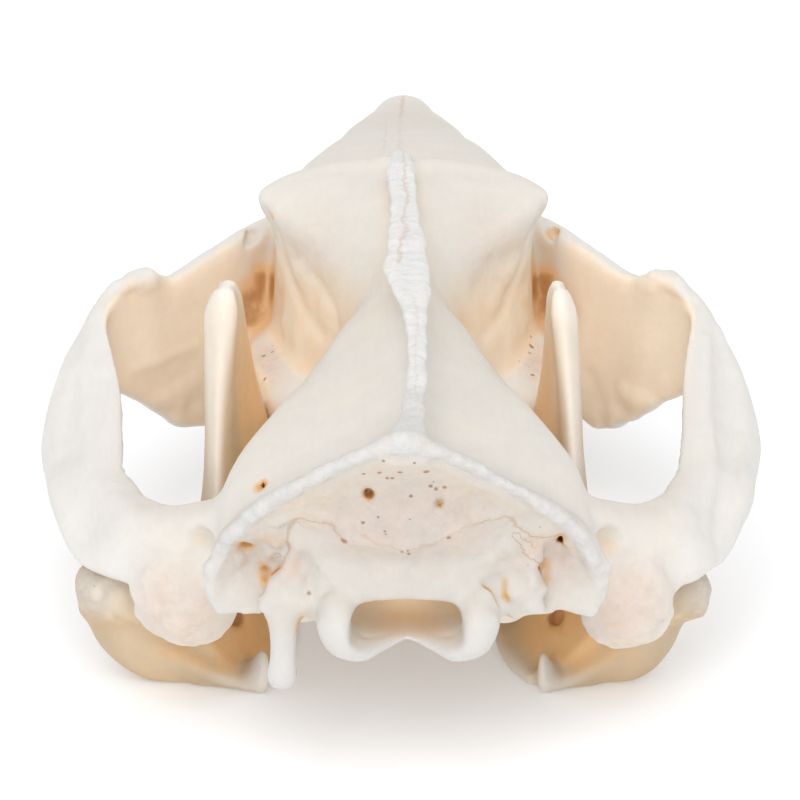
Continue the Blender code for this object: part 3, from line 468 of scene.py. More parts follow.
# How far the outer face is drawn in, along Y, on the left and on the right. The front half of the
# right arch also lies slightly closer to the skull as a whole.
DRAWN_Y = (18, 25, 29, 34, 39, 44, 54)
DRAWN_LEFT = (0.2, 0.7, 0.7, 0.7, 0.4, 0.2, 0.0)
DRAWN_RIGHT = (0.5, 1.9, 1.7, 1.4, 1.2, 1.0, 0.0)
RIGHT_ARCH_TUCK = 0.028


def arch_surface(side):
    """A ribbon: its outer face runs top, bulge, low and its inner face lies one thickness inward."""
    rings = []
    for top, bulge, low, inward, thick in ARCH_STATIONS:
        top, bulge, low = np.array(top), np.array(bulge), np.array(low)
        push = np.array([inward[0], inward[1], 0.0])
        push *= thick / np.linalg.norm(push)
        down = np.array([0, 0, 1.0])
        rings.append([top, top * 0.45 + bulge * 0.55 - push * 0.12, bulge, low,
                      low + push * 0.55 - down * 0.2, bulge * 0.7 + low * 0.3 + push * 0.95,
                      (top + bulge) / 2 + push * 0.75, top + push * 0.38 - down * 0.3])
    points, quads = swept(rings, 7, 5)
    if side > 0:
        points[:, 0] *= 1 - RIGHT_ARCH_TUCK * np.clip((points[:, 1] - 44) / 10, 0, 1)
    drawn_in = np.interp(points[:, 1], DRAWN_Y, DRAWN_RIGHT if side > 0 else DRAWN_LEFT)
    points[:, 0] -= drawn_in * clamp(points[:, 0], 28, 33.5)
    return flipped((points, quads), side)


arches = [arch_surface(side) for side in (-1, 1)]
print("arches:", len(arches[0][0]), "points each")

# %% [markdown]
# ## Knobs, pegs and wings
#
# Round the ear and the neck joint sit smooth rounded masses. Those with one middle are stretched
# spheres: the stop behind each jaw hinge, the ear bulbs and the roots of the two knobs that carry
# the first neck bone. Those with a path are ropes: the knobs' curved rolling faces, the thick lip
# round the rear plate and the ridges over the eyes. The peg beside the left knob grows out of a
# broad buttress and is whole. The right one is snapped off short. Two thin wings of bone stand
# below the base of the skull behind the palate. Each kind needs only one short function.

# %% Rounded masses
KNOB_CENTRE = 0.3             # mm right of the midline, halfway between the two knobs
KNOB_ROOT = ((6.0, 6.2, 18.6), (2.2, 3.2, 2.6))
# Ropes: each row is (centre, radius).
KNOB_PATH = (((6.1, 6.0, 21.4), 0.6), ((6.5, 4.6, 20.6), 1.35), ((6.75, 3.5, 19.2), 1.95),
             ((6.1, 3.1, 17.7), 2.0), ((4.7, 3.6, 16.4), 1.5), ((2.6, 5.2, 15.9), 0.85),
             ((0.6, 6.8, 15.9), 0.45))
LIP_PATH = (((18.7, 8.9, 19.8), 0.2), ((18.5, 8.8, 20.8), 0.3), ((17.9, 8.4, 22.6), 0.4),
            ((16.5, 7.3, 25.9), 0.45), ((13.6, 5.2, 29.6), 0.45), ((9.8, 2.9, 33.1), 0.45),
            ((5.2, 0.9, 36.6), 0.5), ((2.4, -0.4, 38.4), 0.62), ((0.0, -1.0, 39.4), 0.75))
BROW_PATH = (((14.6, 67.4, 37.1), 0.5), ((12.0, 68.6, 38.2), 0.7), ((9.0, 69.2, 39.0), 0.75),
             ((5.5, 69.0, 39.75), 0.75), ((2.0, 67.8, 40.7), 0.7))
EAR_BULB = ((9.8, 20.5, 14.6), (3.1, 4.2, 3.6))
POSTGLENOID_LEFT = ((21.2, 19.2, 13.6), (5.1, 2.9, 4.8))
POSTGLENOID_RIGHT = ((21.6, 19.2, 13.2), (4.5, 2.9, 4.5))
# Pegs: each row is (centre of the section, half width, half depth).
PROCESS_LEFT = (((-11.6, 8.0, 25.0), 1.6, 1.0), ((-11.1, 7.0, 22.5), 2.2, 1.3),
                ((-11.0, 6.6, 20.6), 2.4, 1.5), ((-11.4, 6.6, 19.0), 2.1, 1.5),
                ((-11.4, 6.8, 17.4), 1.55, 1.35), ((-11.4, 6.9, 15.4), 1.3, 1.2),
                ((-11.5, 7.0, 13.0), 1.28, 1.2), ((-11.6, 7.2, 11.4), 1.45, 1.35),
                ((-11.6, 7.3, 10.5), 1.25, 1.1), ((-11.6, 7.35, 10.1), 0.7, 0.6))
PROCESS_RIGHT = (((11.6, 8.0, 25.0), 1.6, 1.0), ((11.1, 7.0, 22.5), 2.2, 1.3),
                 ((11.0, 6.6, 20.6), 2.4, 1.5), ((11.1, 6.6, 19.3), 2.1, 1.4),
                 ((11.2, 6.7, 18.5), 1.4, 1.0))
# Wings: each row is (y, x, top, bottom).
WING_STATIONS = ((60, 5.2, 19.6, 17.2), (55, 5.0, 20.2, 15.6), (50, 4.6, 20.4, 14.4),
                 (45, 4.4, 20.4, 14.6), (41.3, 4.4, 20.1, 16.6), (38.4, 4.4, 19.7, 18.7))
WING_HALF_WIDTH = 0.55


def ball(centre, radii, side=1):
    """Stretched sphere: centre + radii * (sin u cos v, sin u sin v, cos u)."""
    u = np.linspace(0.05, np.pi - 0.05, 24)[:, None]
    v = np.linspace(0, 2 * np.pi, 40, endpoint=False)[None, :]
    round_one = np.stack([np.sin(u) * np.cos(v), np.sin(u) * np.sin(v), np.cos(u) + 0 * v], axis=-1)
    points, quads = closed_tube(round_one * radii)
    return points + np.array(centre) * [side, 1, 1], quads


def rope(stations):
    """Circles across the path: centre + r (cos a u + sin a v), with u and v square to the path."""
    centres = np.array([s[0] for s in stations], float)
    ahead = np.gradient(centres, axis=0)
    ahead /= np.linalg.norm(ahead, axis=1, keepdims=True)
    a = np.linspace(0, 2 * np.pi, 12, endpoint=False)[:, None]
    u = np.eye(3)[np.argmin(np.abs(ahead[0]))]
    rings = []
    for (place, radius), t in zip(stations, ahead):
        u = u - (u @ t) * t
        u /= np.linalg.norm(u)
        rings.append(np.array(place) + radius * (np.cos(a) * u + np.sin(a) * np.cross(t, u)))
    return swept(rings, 6, 2)


def peg(stations):
    """Ovals across Z: centre + (half width cos a, half depth sin a)."""
    a = np.linspace(0, 2 * np.pi, 12, endpoint=False)
    rings = [np.stack([c[0] + w * np.cos(a), c[1] + d * np.sin(a), c[2] + 0 * a], axis=-1)
             for c, w, d in stations]
    return swept(rings, 5, 2)


def wing(side):
    """A thin upright plate: half width across, from its bottom to its top at each station."""
    rings = [[(x - WING_HALF_WIDTH, y, top), (x + WING_HALF_WIDTH, y, top),
              (x + WING_HALF_WIDTH, y, low), (x - WING_HALF_WIDTH, y, low)]
             for y, x, top, low in WING_STATIONS]
    return flipped(swept(rings, 6, 6), side)


print("a ball has", len(ball((0, 0, 0), (1, 1, 1))[0]), "points")

# %% [markdown]
# ## Rooms and openings
#
# The brain room opens only at the back of the head. The nose opens at the front, and the inner
# nostrils run below the base. Small openings let nerves, tear ducts and vessels through, and where
# thin bone has cracked or chipped there are slits. All of these are forms too, made the same way,
# which are carved out of the fused bone: rooms as tunnels, openings as stretched spheres and the
# slits and drilled-looking holes as thin ropes.

# %% Rooms and openings
# Each row: (y, half width, half height, centre height).
BRAIN_ROOM = ((-6, 5.3, 2.35, 18.5), (2, 5.3, 2.35, 18.5), (6, 5.3, 2.4, 18.55), (10, 6.6, 3.6, 19.8),
              (16, 11.0, 6.0, 22.9), (24, 11.6, 6.5, 23.5), (32, 9.0, 5.4, 24.6),
              (39, 6.0, 4.0, 26.0), (44, 3.6, 2.6, 26.6))
NOSE_ROOM = ((128, 2.9, 4.2, 23.2), (122, 2.9, 4.2, 23.2), (114, 3.2, 4.4, 23.6),
             (106, 2.6, 3.6, 24.4), (100, 1.4, 2.2, 25.0))
CHOANA_ROOM = ((37, 2.0, 1.4, 16.8), (44, 3.2, 3.2, 17.4), (52, 3.2, 3.4, 17.8),
               (58, 3.0, 2.2, 19.6), (65, 2.0, 1.3, 20.4))
# Small openings on the right side, mirrored to the left: (centre, radii).
PITS = (((19.8, 16.0, 21.0), (2.4, 1.6, 1.7)),
        ((13.6, 84.5, 24.4), (1.3, 3.4, 1.7)),
        ((3.4, 70.0, 18.4), (1.3, 7.0, 1.3)),
        ((3.9, 109.4, 15.6), (2.5, 2.5, 6.4)))
# Holes and slits that differ from side to side, as ropes: rows of (centre, radius).
SLITS = (
    (((-14.6, 6.6, 24.9), 0.62), ((-14.8, 7.6, 24.5), 0.6), ((-15.1, 8.6, 24.1), 0.4)),
    (((14.3, 5.6, 26.6), 0.6), ((14.6, 7.4, 25.9), 0.6), ((15.2, 9.8, 25.1), 0.4)),
    (((-11.4, 6.6, 24.6), 0.15), ((-12.0, 7.0, 23.6), 0.3), ((-12.8, 7.5, 22.3), 0.4),
     ((-13.3, 7.5, 21.2), 0.42), ((-13.4, 7.2, 20.0), 0.36), ((-13.4, 6.8, 18.6), 0.2)),
    (((-12.9, 8.1, 22.0), 0.2), ((-13.3, 8.3, 21.4), 0.3), ((-13.4, 8.1, 20.6), 0.2)),
    (((11.8, 6.6, 24.2), 0.2), ((12.6, 7.4, 23.2), 0.45), ((13.1, 7.8, 22.2), 0.4),
     ((13.5, 7.8, 20.8), 0.4), ((13.6, 7.4, 19.4), 0.35), ((13.5, 7.0, 18.0), 0.2)),
    (((12.8, 8.2, 23.0), 0.4), ((13.2, 8.7, 22.0), 0.45), ((13.6, 8.7, 20.4), 0.45)),
    (((31.4, 24.2, 14.9), 0.8), ((30.0, 22.2, 14.1), 1.0), ((28.9, 20.8, 13.6), 0.9)),
    (((-3.2, 1.6, 32.9), 0.42), ((-3.2, 3.6, 32.2), 0.42), ((-3.2, 4.4, 32.0), 0.2)),
    (((3.2, 1.8, 31.8), 0.42), ((3.2, 3.8, 31.0), 0.42), ((3.2, 4.6, 30.8), 0.2)),
    (((7.2, 5.4, 22.6), 0.2), ((7.5, 5.4, 22.1), 0.42), ((8.0, 5.4, 21.4), 0.2)),
    (((0.1, -1.5, 39.2), 0.15), ((1.3, -1.2, 39.0), 0.32), ((2.6, -0.7, 38.5), 0.15)),
    (((-15.4, 74.5, 31.2), 0.3), ((-16.4, 74.3, 30.4), 0.7), ((-17.6, 72.9, 29.6), 0.35)),
    (((15.6, 74.5, 31.4), 0.3), ((16.2, 74.1, 30.7), 0.65), ((16.9, 73.1, 30.0), 0.35)),
    (((-13.5, 11.0, 29.5), 0.4), ((-13.3, 13.4, 28.3), 0.4), ((-13.1, 15.6, 27.2), 0.3)),
    (((-11.1, 60.4, 33.3), 0.3), ((-11.4, 62.6, 31.8), 0.25)),
    (((25.3, 16.6, 12.2), 0.2), ((25.2, 18.4, 11.7), 0.2)))
ROOM_CENTRE = 0.2             # the rooms stand this far right of the midline, in mm
SHOULDER = 0.65               # 1 gives plain ovals and 0 gives boxes


def tunnel(stations):
    """Ovals with squared shoulders across Y: x = middle + w |sin a|^shoulder and
    z = height + h |cos a|^shoulder, each with its own sign."""
    a = np.linspace(0, 2 * np.pi, 20, endpoint=False)
    across = np.sign(np.sin(a)) * np.abs(np.sin(a)) ** SHOULDER
    upward = np.sign(np.cos(a)) * np.abs(np.cos(a)) ** SHOULDER
    rings = [np.stack([ROOM_CENTRE + w * across, y + 0 * a, height + h * upward], axis=-1)
             for y, w, h, height in stations]
    return swept(rings, 6, 2)


print("brain room:", len(tunnel(BRAIN_ROOM)[0]), "points;", len(SLITS), "slits and holes")

# %% [markdown]
# ## How far a point is from a line
#
# Ridges, furrows, sutures and the lip of the rear plate all run along lines on the bone. Such a line
# could be drawn on a picture that is wrapped round the piece, but a fused skin has no flat picture.
# So a line is a short list of points in space, and each point of bone finds its distance from it.
# The sign says on which side it lies, so that a seam can be drawn where the distance passes zero.

# %% Distance to a line
LINE_REACH = 3.0              # mm, past which a line has no effect


def line_distance(points, normals, line):
    """Signed distance to a line of points on the surface, up to the reach: which side comes from
    (segment x offset) . normal of the nearest segment."""
    line = np.asarray(line, float)
    signed = np.full(len(points), LINE_REACH)
    inside = (points > line.min(axis=0) - LINE_REACH) & (points < line.max(axis=0) + LINE_REACH)
    near = np.nonzero(np.all(inside, axis=1))[0]
    best = np.full(len(near), LINE_REACH)
    for a, b in zip(line[:-1], line[1:]):
        along = b - a
        t = np.clip((points[near] - a) @ along / (along @ along), 0, 1)
        offset = points[near] - (a + t[:, None] * along)
        away = np.linalg.norm(offset, axis=1)
        side = np.where((np.cross(along, offset) * normals[near]).sum(axis=1) < 0, -1, 1)
        closer = away < best
        best = np.where(closer, away, best)
        signed[near] = np.where(closer, away * side, signed[near])
    return signed


def lip_distance(points, normals):
    """Distance to the lip of the rear plate: the smaller of those to its two halves."""
    lip_line = np.array([place for place, radius in LIP_PATH])
    return np.minimum(np.abs(line_distance(points, normals, lip_line)),
                      np.abs(line_distance(points, normals, mirrored(lip_line))))


test_line = ((-5, 0, 0), (5, 0, 0))
beside_it = line_distance(np.array([[0.0, 2.0, 0.0]]), np.array([[0.0, 0.0, 1.0]]), test_line)
print("2 mm beside a line:", beside_it)

# %% [markdown]
# ## Low ridges and furrows
#
# Where sheets of muscle held on, bone is raised in low lines, and where vessels ran or plates meet
# it is sunk in soft furrows. Sculpting them by hand would look as good, but nobody could measure or
# repeat it. Each is a line of points with a height and a width, and the skin rises or sinks there in
# a bell-shaped curve. The first eight rows lie on the rear plate, the next nine on the arches and
# cheek bones, and the last five beside the eyes and on the stops.

# %% Ridges and furrows
# Low ridges (above zero) and furrows (below zero): (height, width, points along it).
RELIEF = (
    (0.45, 0.55, ((-11.8, 5.6, 28.0), (-11.0, 5.4, 28.8), (-9.0, 4.8, 29.9), (-6.4, 4.3, 29.4),
                  (-4.7, 3.8, 27.8))),
    (0.5, 0.6, ((-4.6, 3.8, 27.3), (-3.2, 3.7, 27.2), (-2.0, 3.7, 26.8), (0.0, 3.2, 26.6), (1.6, 3.5, 27.0),
                (3.1, 3.7, 27.6), (4.8, 3.7, 28.3), (6.4, 4.2, 29.3), (8.4, 5.0, 29.9))),
    (-0.4, 0.7, ((-9.3, 5.6, 26.2), (-9.1, 6.2, 24.0), (-8.2, 5.6, 22.6), (-7.4, 4.9, 21.6))),
    (-0.45, 0.7, ((7.4, 5.2, 24.6), (7.8, 5.4, 23.2), (8.6, 5.3, 21.8), (9.0, 5.2, 20.6))),
    (0.4, 0.5, ((9.6, 5.6, 28.9), (10.6, 5.9, 28.1), (11.8, 6.0, 27.9), (13.4, 6.6, 27.0))),
    (-0.4, 0.45, ((-10.9, 5.8, 28.2), (-11.0, 6.2, 26.6), (-11.2, 6.9, 24.6))),
    (0.4, 0.6, ((-10.0, 5.9, 27.6), (-9.9, 6.3, 26.0), (-10.2, 6.7, 24.0), (-11.2, 6.8, 22.4))),
    (0.4, 0.6, ((9.6, 6.0, 27.2), (9.8, 6.4, 25.4), (10.6, 6.6, 23.8), (11.8, 6.9, 22.0))),
    (0.4, 1.0, ((-28.8, 28.0, 20.4), (-26.8, 23.6, 20.4), (-24.4, 20.2, 19.6), (-22.0, 18.6, 19.0))),
    (0.3, 0.8, ((28.0, 24.6, 19.8), (26.0, 20.8, 19.2), (23.6, 18.8, 18.6))),
    (0.34, 0.75, ((31.4, 52.3, 27.3), (31.1, 46.6, 25.0), (30.9, 42.5, 23.4), (31.0, 36.8, 21.4),
                  (30.4, 32, 20.5), (29.9, 28, 19.1), (29.1, 25, 18.2))),
    (-0.2, 1.0, ((33.0, 51.6, 25.8), (33.0, 42.6, 22.0), (32.8, 35.0, 20.2), (31.4, 28.0, 18.8))),
    (0.26, 0.8, ((33.1, 55.1, 27.1), (34.3, 51.7, 24.6), (35.0, 47.4, 22.4), (35.0, 42.8, 20.3),
                 (33.9, 34.6, 19.4), (32.4, 29.4, 18.0), (31.0, 26.4, 16.8))),
    (0.22, 0.8, ((-32.9, 52.4, 26.5), (-33.1, 48.2, 24.4), (-32.6, 42.2, 22.2), (-31.6, 34.9, 20.7),
                 (-29.5, 27.1, 19.5), (-27.2, 21.4, 19.1))),
    (0.22, 0.8, ((-34.0, 50.8, 24.9), (-35.3, 47.3, 22.5), (-35.5, 42.6, 20.4), (-35.1, 37.2, 19.3),
                 (-33.8, 30.2, 18.7), (-32.2, 26.8, 17.2))),
    (0.22, 0.6, ((20.1, 69.1, 24.6), (22, 66.7, 23.8), (23.9, 64, 23.0), (25.2, 62.2, 22.5),
                 (26.5, 60.7, 22.1))),
    (0.18, 0.6, ((-28.6, 58.6, 21.0), (-26.9, 60.1, 21.0), (-24.6, 62.8, 21.1), (-22.5, 65.4, 20.8))),
    (-0.4, 0.7, ((-14.6, 65.4, 36.3), (-14.0, 65.0, 35.0), (-13.1, 64.0, 33.4), (-12.9, 64.0, 31.2),
                 (-11.9, 62.9, 29.3), (-10.6, 60.2, 27.2), (-8.6, 55.4, 26.4))),
    (-0.4, 0.7, ((14.7, 65.8, 36.1), (14.0, 65.4, 34.9), (13.2, 64.0, 33.4), (12.8, 63.6, 31.4),
                 (11.8, 62.6, 29.4), (10.5, 60.0, 27.2), (8.6, 55.4, 26.4))),
    (-0.3, 0.6, ((-9.6, 59.8, 31.5), (-8.3, 57.6, 30.3), (-7.2, 55.0, 29.3), (-7.0, 53.7, 27.8))),
    (-0.25, 0.7, ((-23.1, 17.3, 17.2), (-21.7, 17.3, 18.1), (-20.2, 17.2, 19.3))),
    (-0.25, 0.7, ((23.1, 17.3, 17.2), (21.7, 17.3, 18.1), (20.2, 17.2, 19.3))))
print(len(RELIEF), "ridges and furrows")

# %% [markdown]
# ## Rough places
#
# Dry bone is worn smooth where it was held or rubbed, and stays rough where muscle pulled, where
# thin edges have crumbled and where the ear's spongy bone is open. One noise over the whole skull
# would make it look cast in plaster. So each rough place has a mask, which is a product of soft
# stretches along the axes, and its own height and grain: pebbles on the crest's rim and on the lip,
# ragged bone round the ears and on the chipped lower margins, low bumps on the rear plate, the hinge
# stops, the wall of the eye socket and the lower brink and upper tip of each cheek bone.

# %% Rough places
# For each place: rows of (height, grain size, seed). Heights and sizes are in mm.
GRAINS = {
    "rim": ((0.14, 1.0, 3), (0.18, 2.8, 4)), "chipped": ((0.5, 1.5, 5),),
    "ears": ((0.6, 2.4, 6), (0.34, 1.1, 8)), "plate": ((0.32, 1.8, 9),),
    "lip": ((0.22, 1.0, 13), (0.25, 2.6, 14)), "stops": ((0.26, 1.2, 7),),
    "brink": ((0.4, 2.4, 10),), "tips": ((0.45, 1.6, 11),), "wall": ((0.26, 2.2, 12),)}


def rough_places(places):
    """A mask from 0 to 1 for each rough place: products of soft stretches of x, y and z."""
    x, y, z = places.T
    aside = np.abs(x)
    back = 1 - clamp(y, 9, 12)
    peg = (x < -9.6) * (x > -13.4) * (z < 18.6)
    return {
        "rim": clamp(z - 40.0 - 0.045 * (y - 20), -1.6, -0.6) * clamp(y, 0, 4) * (aside < 4) * (y < 68.5),
        "chipped": (1 - clamp(z, 18.6, 20.6)) * (1 - clamp(y, 9.5, 11)) * clamp(aside, 8.5, 10) * (1 - peg),
        "ears": clamp(aside, 6.0, 8.5) * back * clamp(z, 18.5, 20.5)
        * (1 - clamp(z - 0.55 * (16 - aside), 25, 27)),
        "plate": (1 - clamp(aside, 6.5, 8.5)) * back * between(z, 22, 24, 33, 35),
        "lip": 1 - clamp(lip_distance(places, np.zeros_like(places)), 0.8, 1.5),
        "stops": between(aside, 16, 18, 26, 28) * (1 - clamp(y, 20, 23)) * (1 - clamp(z, 16, 19)),
        "brink": clamp(aside, 19, 21) * between(y, 54, 57, 70, 74) * (1 - clamp(z, 16.5, 19.5)),
        "tips": clamp(aside, 24, 26) * clamp(y, 55, 57) * clamp(z, 28.5, 30),
        "wall": between(aside, 5, 7, 14, 15) * between(y, 46, 50, 66, 70) * between(z, 21, 24, 33, 36)}


def roughness(places):
    """Change of the distance in mm, where less means more bone: swells everywhere, the grains of each
    rough place times its mask, and -height * exp(-(distance / width)^2) for each ridge."""
    change = 0.10 * noise(places, 11.0, 1) + 0.05 * noise(places, 4.0, 2)
    for place, mask in rough_places(places).items():
        chosen = mask > 0.01
        for height, size, seed in GRAINS[place]:
            change[chosen] += height * mask[chosen] * noise(places[chosen], size, seed)
    flat = np.zeros_like(places)
    for height, width, line in RELIEF:
        change -= height * np.exp(-(line_distance(places, flat, line) / width) ** 2)
    return change


crest_top = np.array([[0.5, 30.0, 40.3]])
print("the rim's mask on top of the crest:", rough_places(crest_top)["rim"].round(2))

# %% [markdown]
# ## Fusing the cranium
#
# Each form gets the fillet that the real joint has: wide where an arch springs from the skull,
# tight where a knob or a peg stands on it. The forms are melted in one after the other, then the
# rooms and openings are carved out with a sharper edge. The roughness is added to the distances
# themselves, so it moves the surface and not just its shading, and it fades out within a few cells.

# %% Cranium
STEP = 0.35                   # mm, the size of a cell
CRANIUM_ROOM = room((-39, -4, 6), (39, 128, 46), STEP)
BAND_REACH = 0.95             # mm, as far as the roughness reaches into the distances


def side_forms(side, arch):
    """What stands on one side, each with its fillet in mm."""
    stop = POSTGLENOID_LEFT if side < 0 else POSTGLENOID_RIGHT
    return ((arch, 2.4), (ball(*EAR_BULB, side), 1.6), (ball(*stop, side), 1.8), (wing(side), 0.8),
            (flipped(rope(BROW_PATH), side), 1.6))


def knob(side, cells):
    """A knob and its root, moved sideways by a whole number of cells to the middle of the two."""
    joined = melt(distance(flipped(rope(KNOB_PATH), side), cells),
                  distance(ball(*KNOB_ROOT, side), cells), 1.0)
    return np.roll(joined, int(round(KNOB_CENTRE / STEP)), axis=0)


def cranium_field():
    """All forms of the cranium melted together, carved, and roughened near the surface."""
    cells = CRANIUM_ROOM
    forms = [(crest, 1.2)]
    for side, arch in zip((-1, 1), arches):
        forms += side_forms(side, arch)
    forms += [(peg(stations), 1.0) for stations in (PROCESS_LEFT, PROCESS_RIGHT)]
    field = distance(core, cells)
    for surface, fillet in forms:
        field = melt(field, distance(surface, cells), fillet)
    for side in (-1, 1):
        field = melt(field, knob(side, cells), 0.8)
        lip_points, lip_quads = flipped(rope(LIP_PATH), side)
        field = melt(field, distance((tucked(lip_points), lip_quads), cells), 0.5)
    for stations in (BRAIN_ROOM, NOSE_ROOM, CHOANA_ROOM):
        field = carve(field, distance(tunnel(stations), cells), 0.6)
    for centre_at, radii in PITS:
        for side in (-1, 1):
            field = carve(field, distance(ball(centre_at, radii, side), cells), 0.5)
    for path in SLITS:
        field = carve(field, distance(rope(path), cells), 0.3)
    field = settle(field, 1)
    index, places = band(field, cells, BAND_REACH)
    field[index] += roughness(places) * (1 - np.abs(field[index]) / BAND_REACH)
    return field


cranium = cranium_field()
cranium_points, cranium_faces = skin(cranium, CRANIUM_ROOM)
print("cranium skin:", len(cranium_points), "points,", sum(len(f) - 2 for f in cranium_faces), "triangles")

# %% [markdown]
# ## The lower jaws
#
# Each half of the lower jaw is a curved bar that carries the teeth, a tall thin blade for the jaw
# muscle, a roller that turns under the skull and an inturned corner at the rear, with a slope above
# it in which a nerve enters the bone. Like the arches, both halves come from one set of stations.
# The right half of this skull has slipped toward the midline at its hinge, so its points are drawn
# in before they are melted together. A floor at table height keeps the standing faces flat.

# %% Lower jaws
# Body, back to front: (y, inner x, outer x, bottom, top), and the outline of its section as
# (share of the width from the inner side, share of the height).
JAW_BODY = ((28, 20.6, 25.6, 2.4, 9.0), (34, 18.6, 23.0, 1.6, 11.6), (40, 16.9, 20.8, 1.2, 12.6),
            (48, 14.2, 18.2, 0.9, 13.2), (55, 11.6, 16.4, 0.6, 13.0), (61, 9.2, 14.6, 0.2, 12.5),
            (68, 6.8, 12.2, 0.0, 12.4), (76, 5.6, 10.8, 0.0, 12.4), (85, 4.9, 9.7, 0.0, 12.4),
            (94, 4.3, 8.7, 0.3, 12.3), (100, 2.6, 7.6, 0.7, 12.2), (105, 0.4, 6.4, 1.2, 12.1),
            (110, 0.2, 5.7, 2.0, 12.0), (114, 0.2, 4.4, 3.2, 11.7), (117.4, 0.2, 2.9, 5.0, 11.5),
            (119, 0.4, 1.8, 6.6, 11.0))
BODY_OUTLINE = ((0.30, 0.0), (0.62, 0.0), (0.9, 0.22), (1.0, 0.5), (0.94, 0.8), (0.84, 1.0),
                (0.14, 1.0), (0.0, 0.8), (0.0, 0.45), (0.08, 0.18))
# Blade: (height, rear y, front y, rear x, front x, rear and front thickness), and its outline as
# (share of the way forward, share of the front's x, rear and front thicknesses it stands out).
BLADE = ((7.0, 31.0, 58.0, 21.0, 13.0, 3.0, 3.4), (12.5, 30.2, 57.6, 19.8, 13.8, 2.6, 3.0),
         (18.0, 31.5, 55.0, 19.0, 15.2, 2.3, 2.2), (23.0, 33.8, 52.4, 18.8, 16.0, 2.1, 1.7),
         (28.0, 36.2, 50.0, 18.7, 16.6, 2.2, 1.6), (32.0, 38.4, 48.2, 18.5, 17.2, 2.5, 1.7),
         (35.2, 40.2, 46.6, 18.3, 17.7, 2.6, 1.8), (37.0, 41.6, 44.6, 18.1, 17.9, 1.7, 1.3))
BLADE_OUTLINE = ((0.0, 0.0, -0.12, 0.0), (0.05, 0.0, 0.5, 0.0), (0.4, 0.4, 0.0, 0.42),
                 (0.88, 1.0, 0.0, 0.4), (1.0, 1.0, 0.0, 0.0), (0.9, 1.0, 0.0, -0.5),
                 (0.4, 0.4, 0.0, -0.42), (0.07, 0.0, -0.5, 0.0))
# Roller: (x, y, z, radius).
ROLLER = ((19.2, 24.8, 9.8, 1.2), (20.4, 24.9, 10.0, 2.3), (25.0, 25.2, 10.8, 2.8),
          (30.2, 25.8, 11.2, 3.0), (31.7, 26.1, 11.1, 2.4), (32.3, 26.2, 11.0, 1.3))
# Rear wall and inturned corner: (x, rear y, front y, bottom, top), and its outline.
SHELF = ((31.7, 26.2, 29.4, 7.6, 11.0), (30.8, 25.8, 30.4, 5.4, 11.2), (28.8, 25.4, 31.8, 3.0, 10.8),
         (26.4, 25.4, 33.8, 1.2, 9.8), (23.6, 25.5, 36.4, 0.3, 7.6), (21.0, 25.4, 38.0, 0.1, 4.9),
         (18.0, 24.8, 37.0, 0.1, 2.9), (16.0, 24.4, 34.0, 0.1, 2.6), (14.9, 24.2, 30.0, 0.1, 3.8),
         (14.2, 24.0, 28.0, 0.3, 5.1), (13.5, 24.2, 26.6, 1.2, 4.4))
SHELF_OUTLINE = ((0.15, 0.0), (0.75, 0.0), (1.0, 0.25), (0.55, 0.5), (0.38, 1.0), (0.12, 0.9),
                 (0.0, 0.5))
# Inner slope above the corner, back to front: (y, outer x and top, middle x and height, inner x and
# lip).
SLOPE = ((26.6, 20.6, 6.0, 17.6, 2.6, 14.2, 1.2), (30, 20.4, 9.0, 16.6, 5.0, 12.4, 1.5),
         (34, 19.6, 10.0, 15.3, 5.6, 11.4, 1.8), (38, 18.6, 10.5, 14.7, 5.6, 11.2, 2.0),
         (42, 17.6, 11.0, 14.4, 5.8, 11.7, 2.4), (47, 16.4, 11.0, 14.0, 6.2, 12.6, 3.0),
         (51, 15.4, 9.0, 14.4, 6.0, 13.6, 3.4))
SLOPE_RIGHT_SHIFT = 1.7
NERVE_PATH = (((15.6, 28.2, 8.2), 0.9), ((16.6, 29.8, 6.6), 1.05), ((17.6, 32.2, 4.8), 0.9))
ROLLER_RIGHT_REACH = 1.32     # the right roller is this much longer past x = 25 mm
ROLLER_REACH_START = 25
RIGHT_JAW_SHARE = 0.803       # the right half is drawn in to this share past its start
RIGHT_JAW_START = 13.0
RIGHT_BLADE_LEAN = 0.05       # mm inward for each mm above the start of the lean
RIGHT_LEAN_START = 10.0
JAW_STEP = 0.35
JAW_BAND = 1.2                # mm, as far as the jaw's surface is looked for
TABLE_GAP = 0.1               # mm between the standing faces and the table
JAW_ROOMS = {-1: room((-36, 21, -2), (-0.5, 121, 40), JAW_STEP),
             1: room((-0.5, 21, -2), (36, 121, 40), JAW_STEP)}
print("jaw rooms hold", [int(np.prod(shape)) for first, shape, step in JAW_ROOMS.values()], "cells")

# %% [markdown]
# ## Fusing each jaw
#
# Each outline is laid over its stations to give rings of points, and the rings become surfaces that
# are melted together like those of the cranium. What belongs to the inner side slides over as a
# whole on the right half, because thin forms would be squeezed if they were drawn in.

# %% Fusing the jaws


def settled(surface, side):
    """The left jaw is mirrored. The right one is drawn in past x = 13 mm and leans in with height."""
    points, quads = surface
    if side < 0:
        return flipped(surface, side)
    points = points.copy()
    x, z = points[:, 0], points[:, 2]
    drawn = RIGHT_JAW_START + (x - RIGHT_JAW_START) * RIGHT_JAW_SHARE
    drawn = drawn - np.maximum(0, z - RIGHT_LEAN_START) * RIGHT_BLADE_LEAN
    points[:, 0] = np.where(x > RIGHT_JAW_START, drawn, x)
    return points, quads


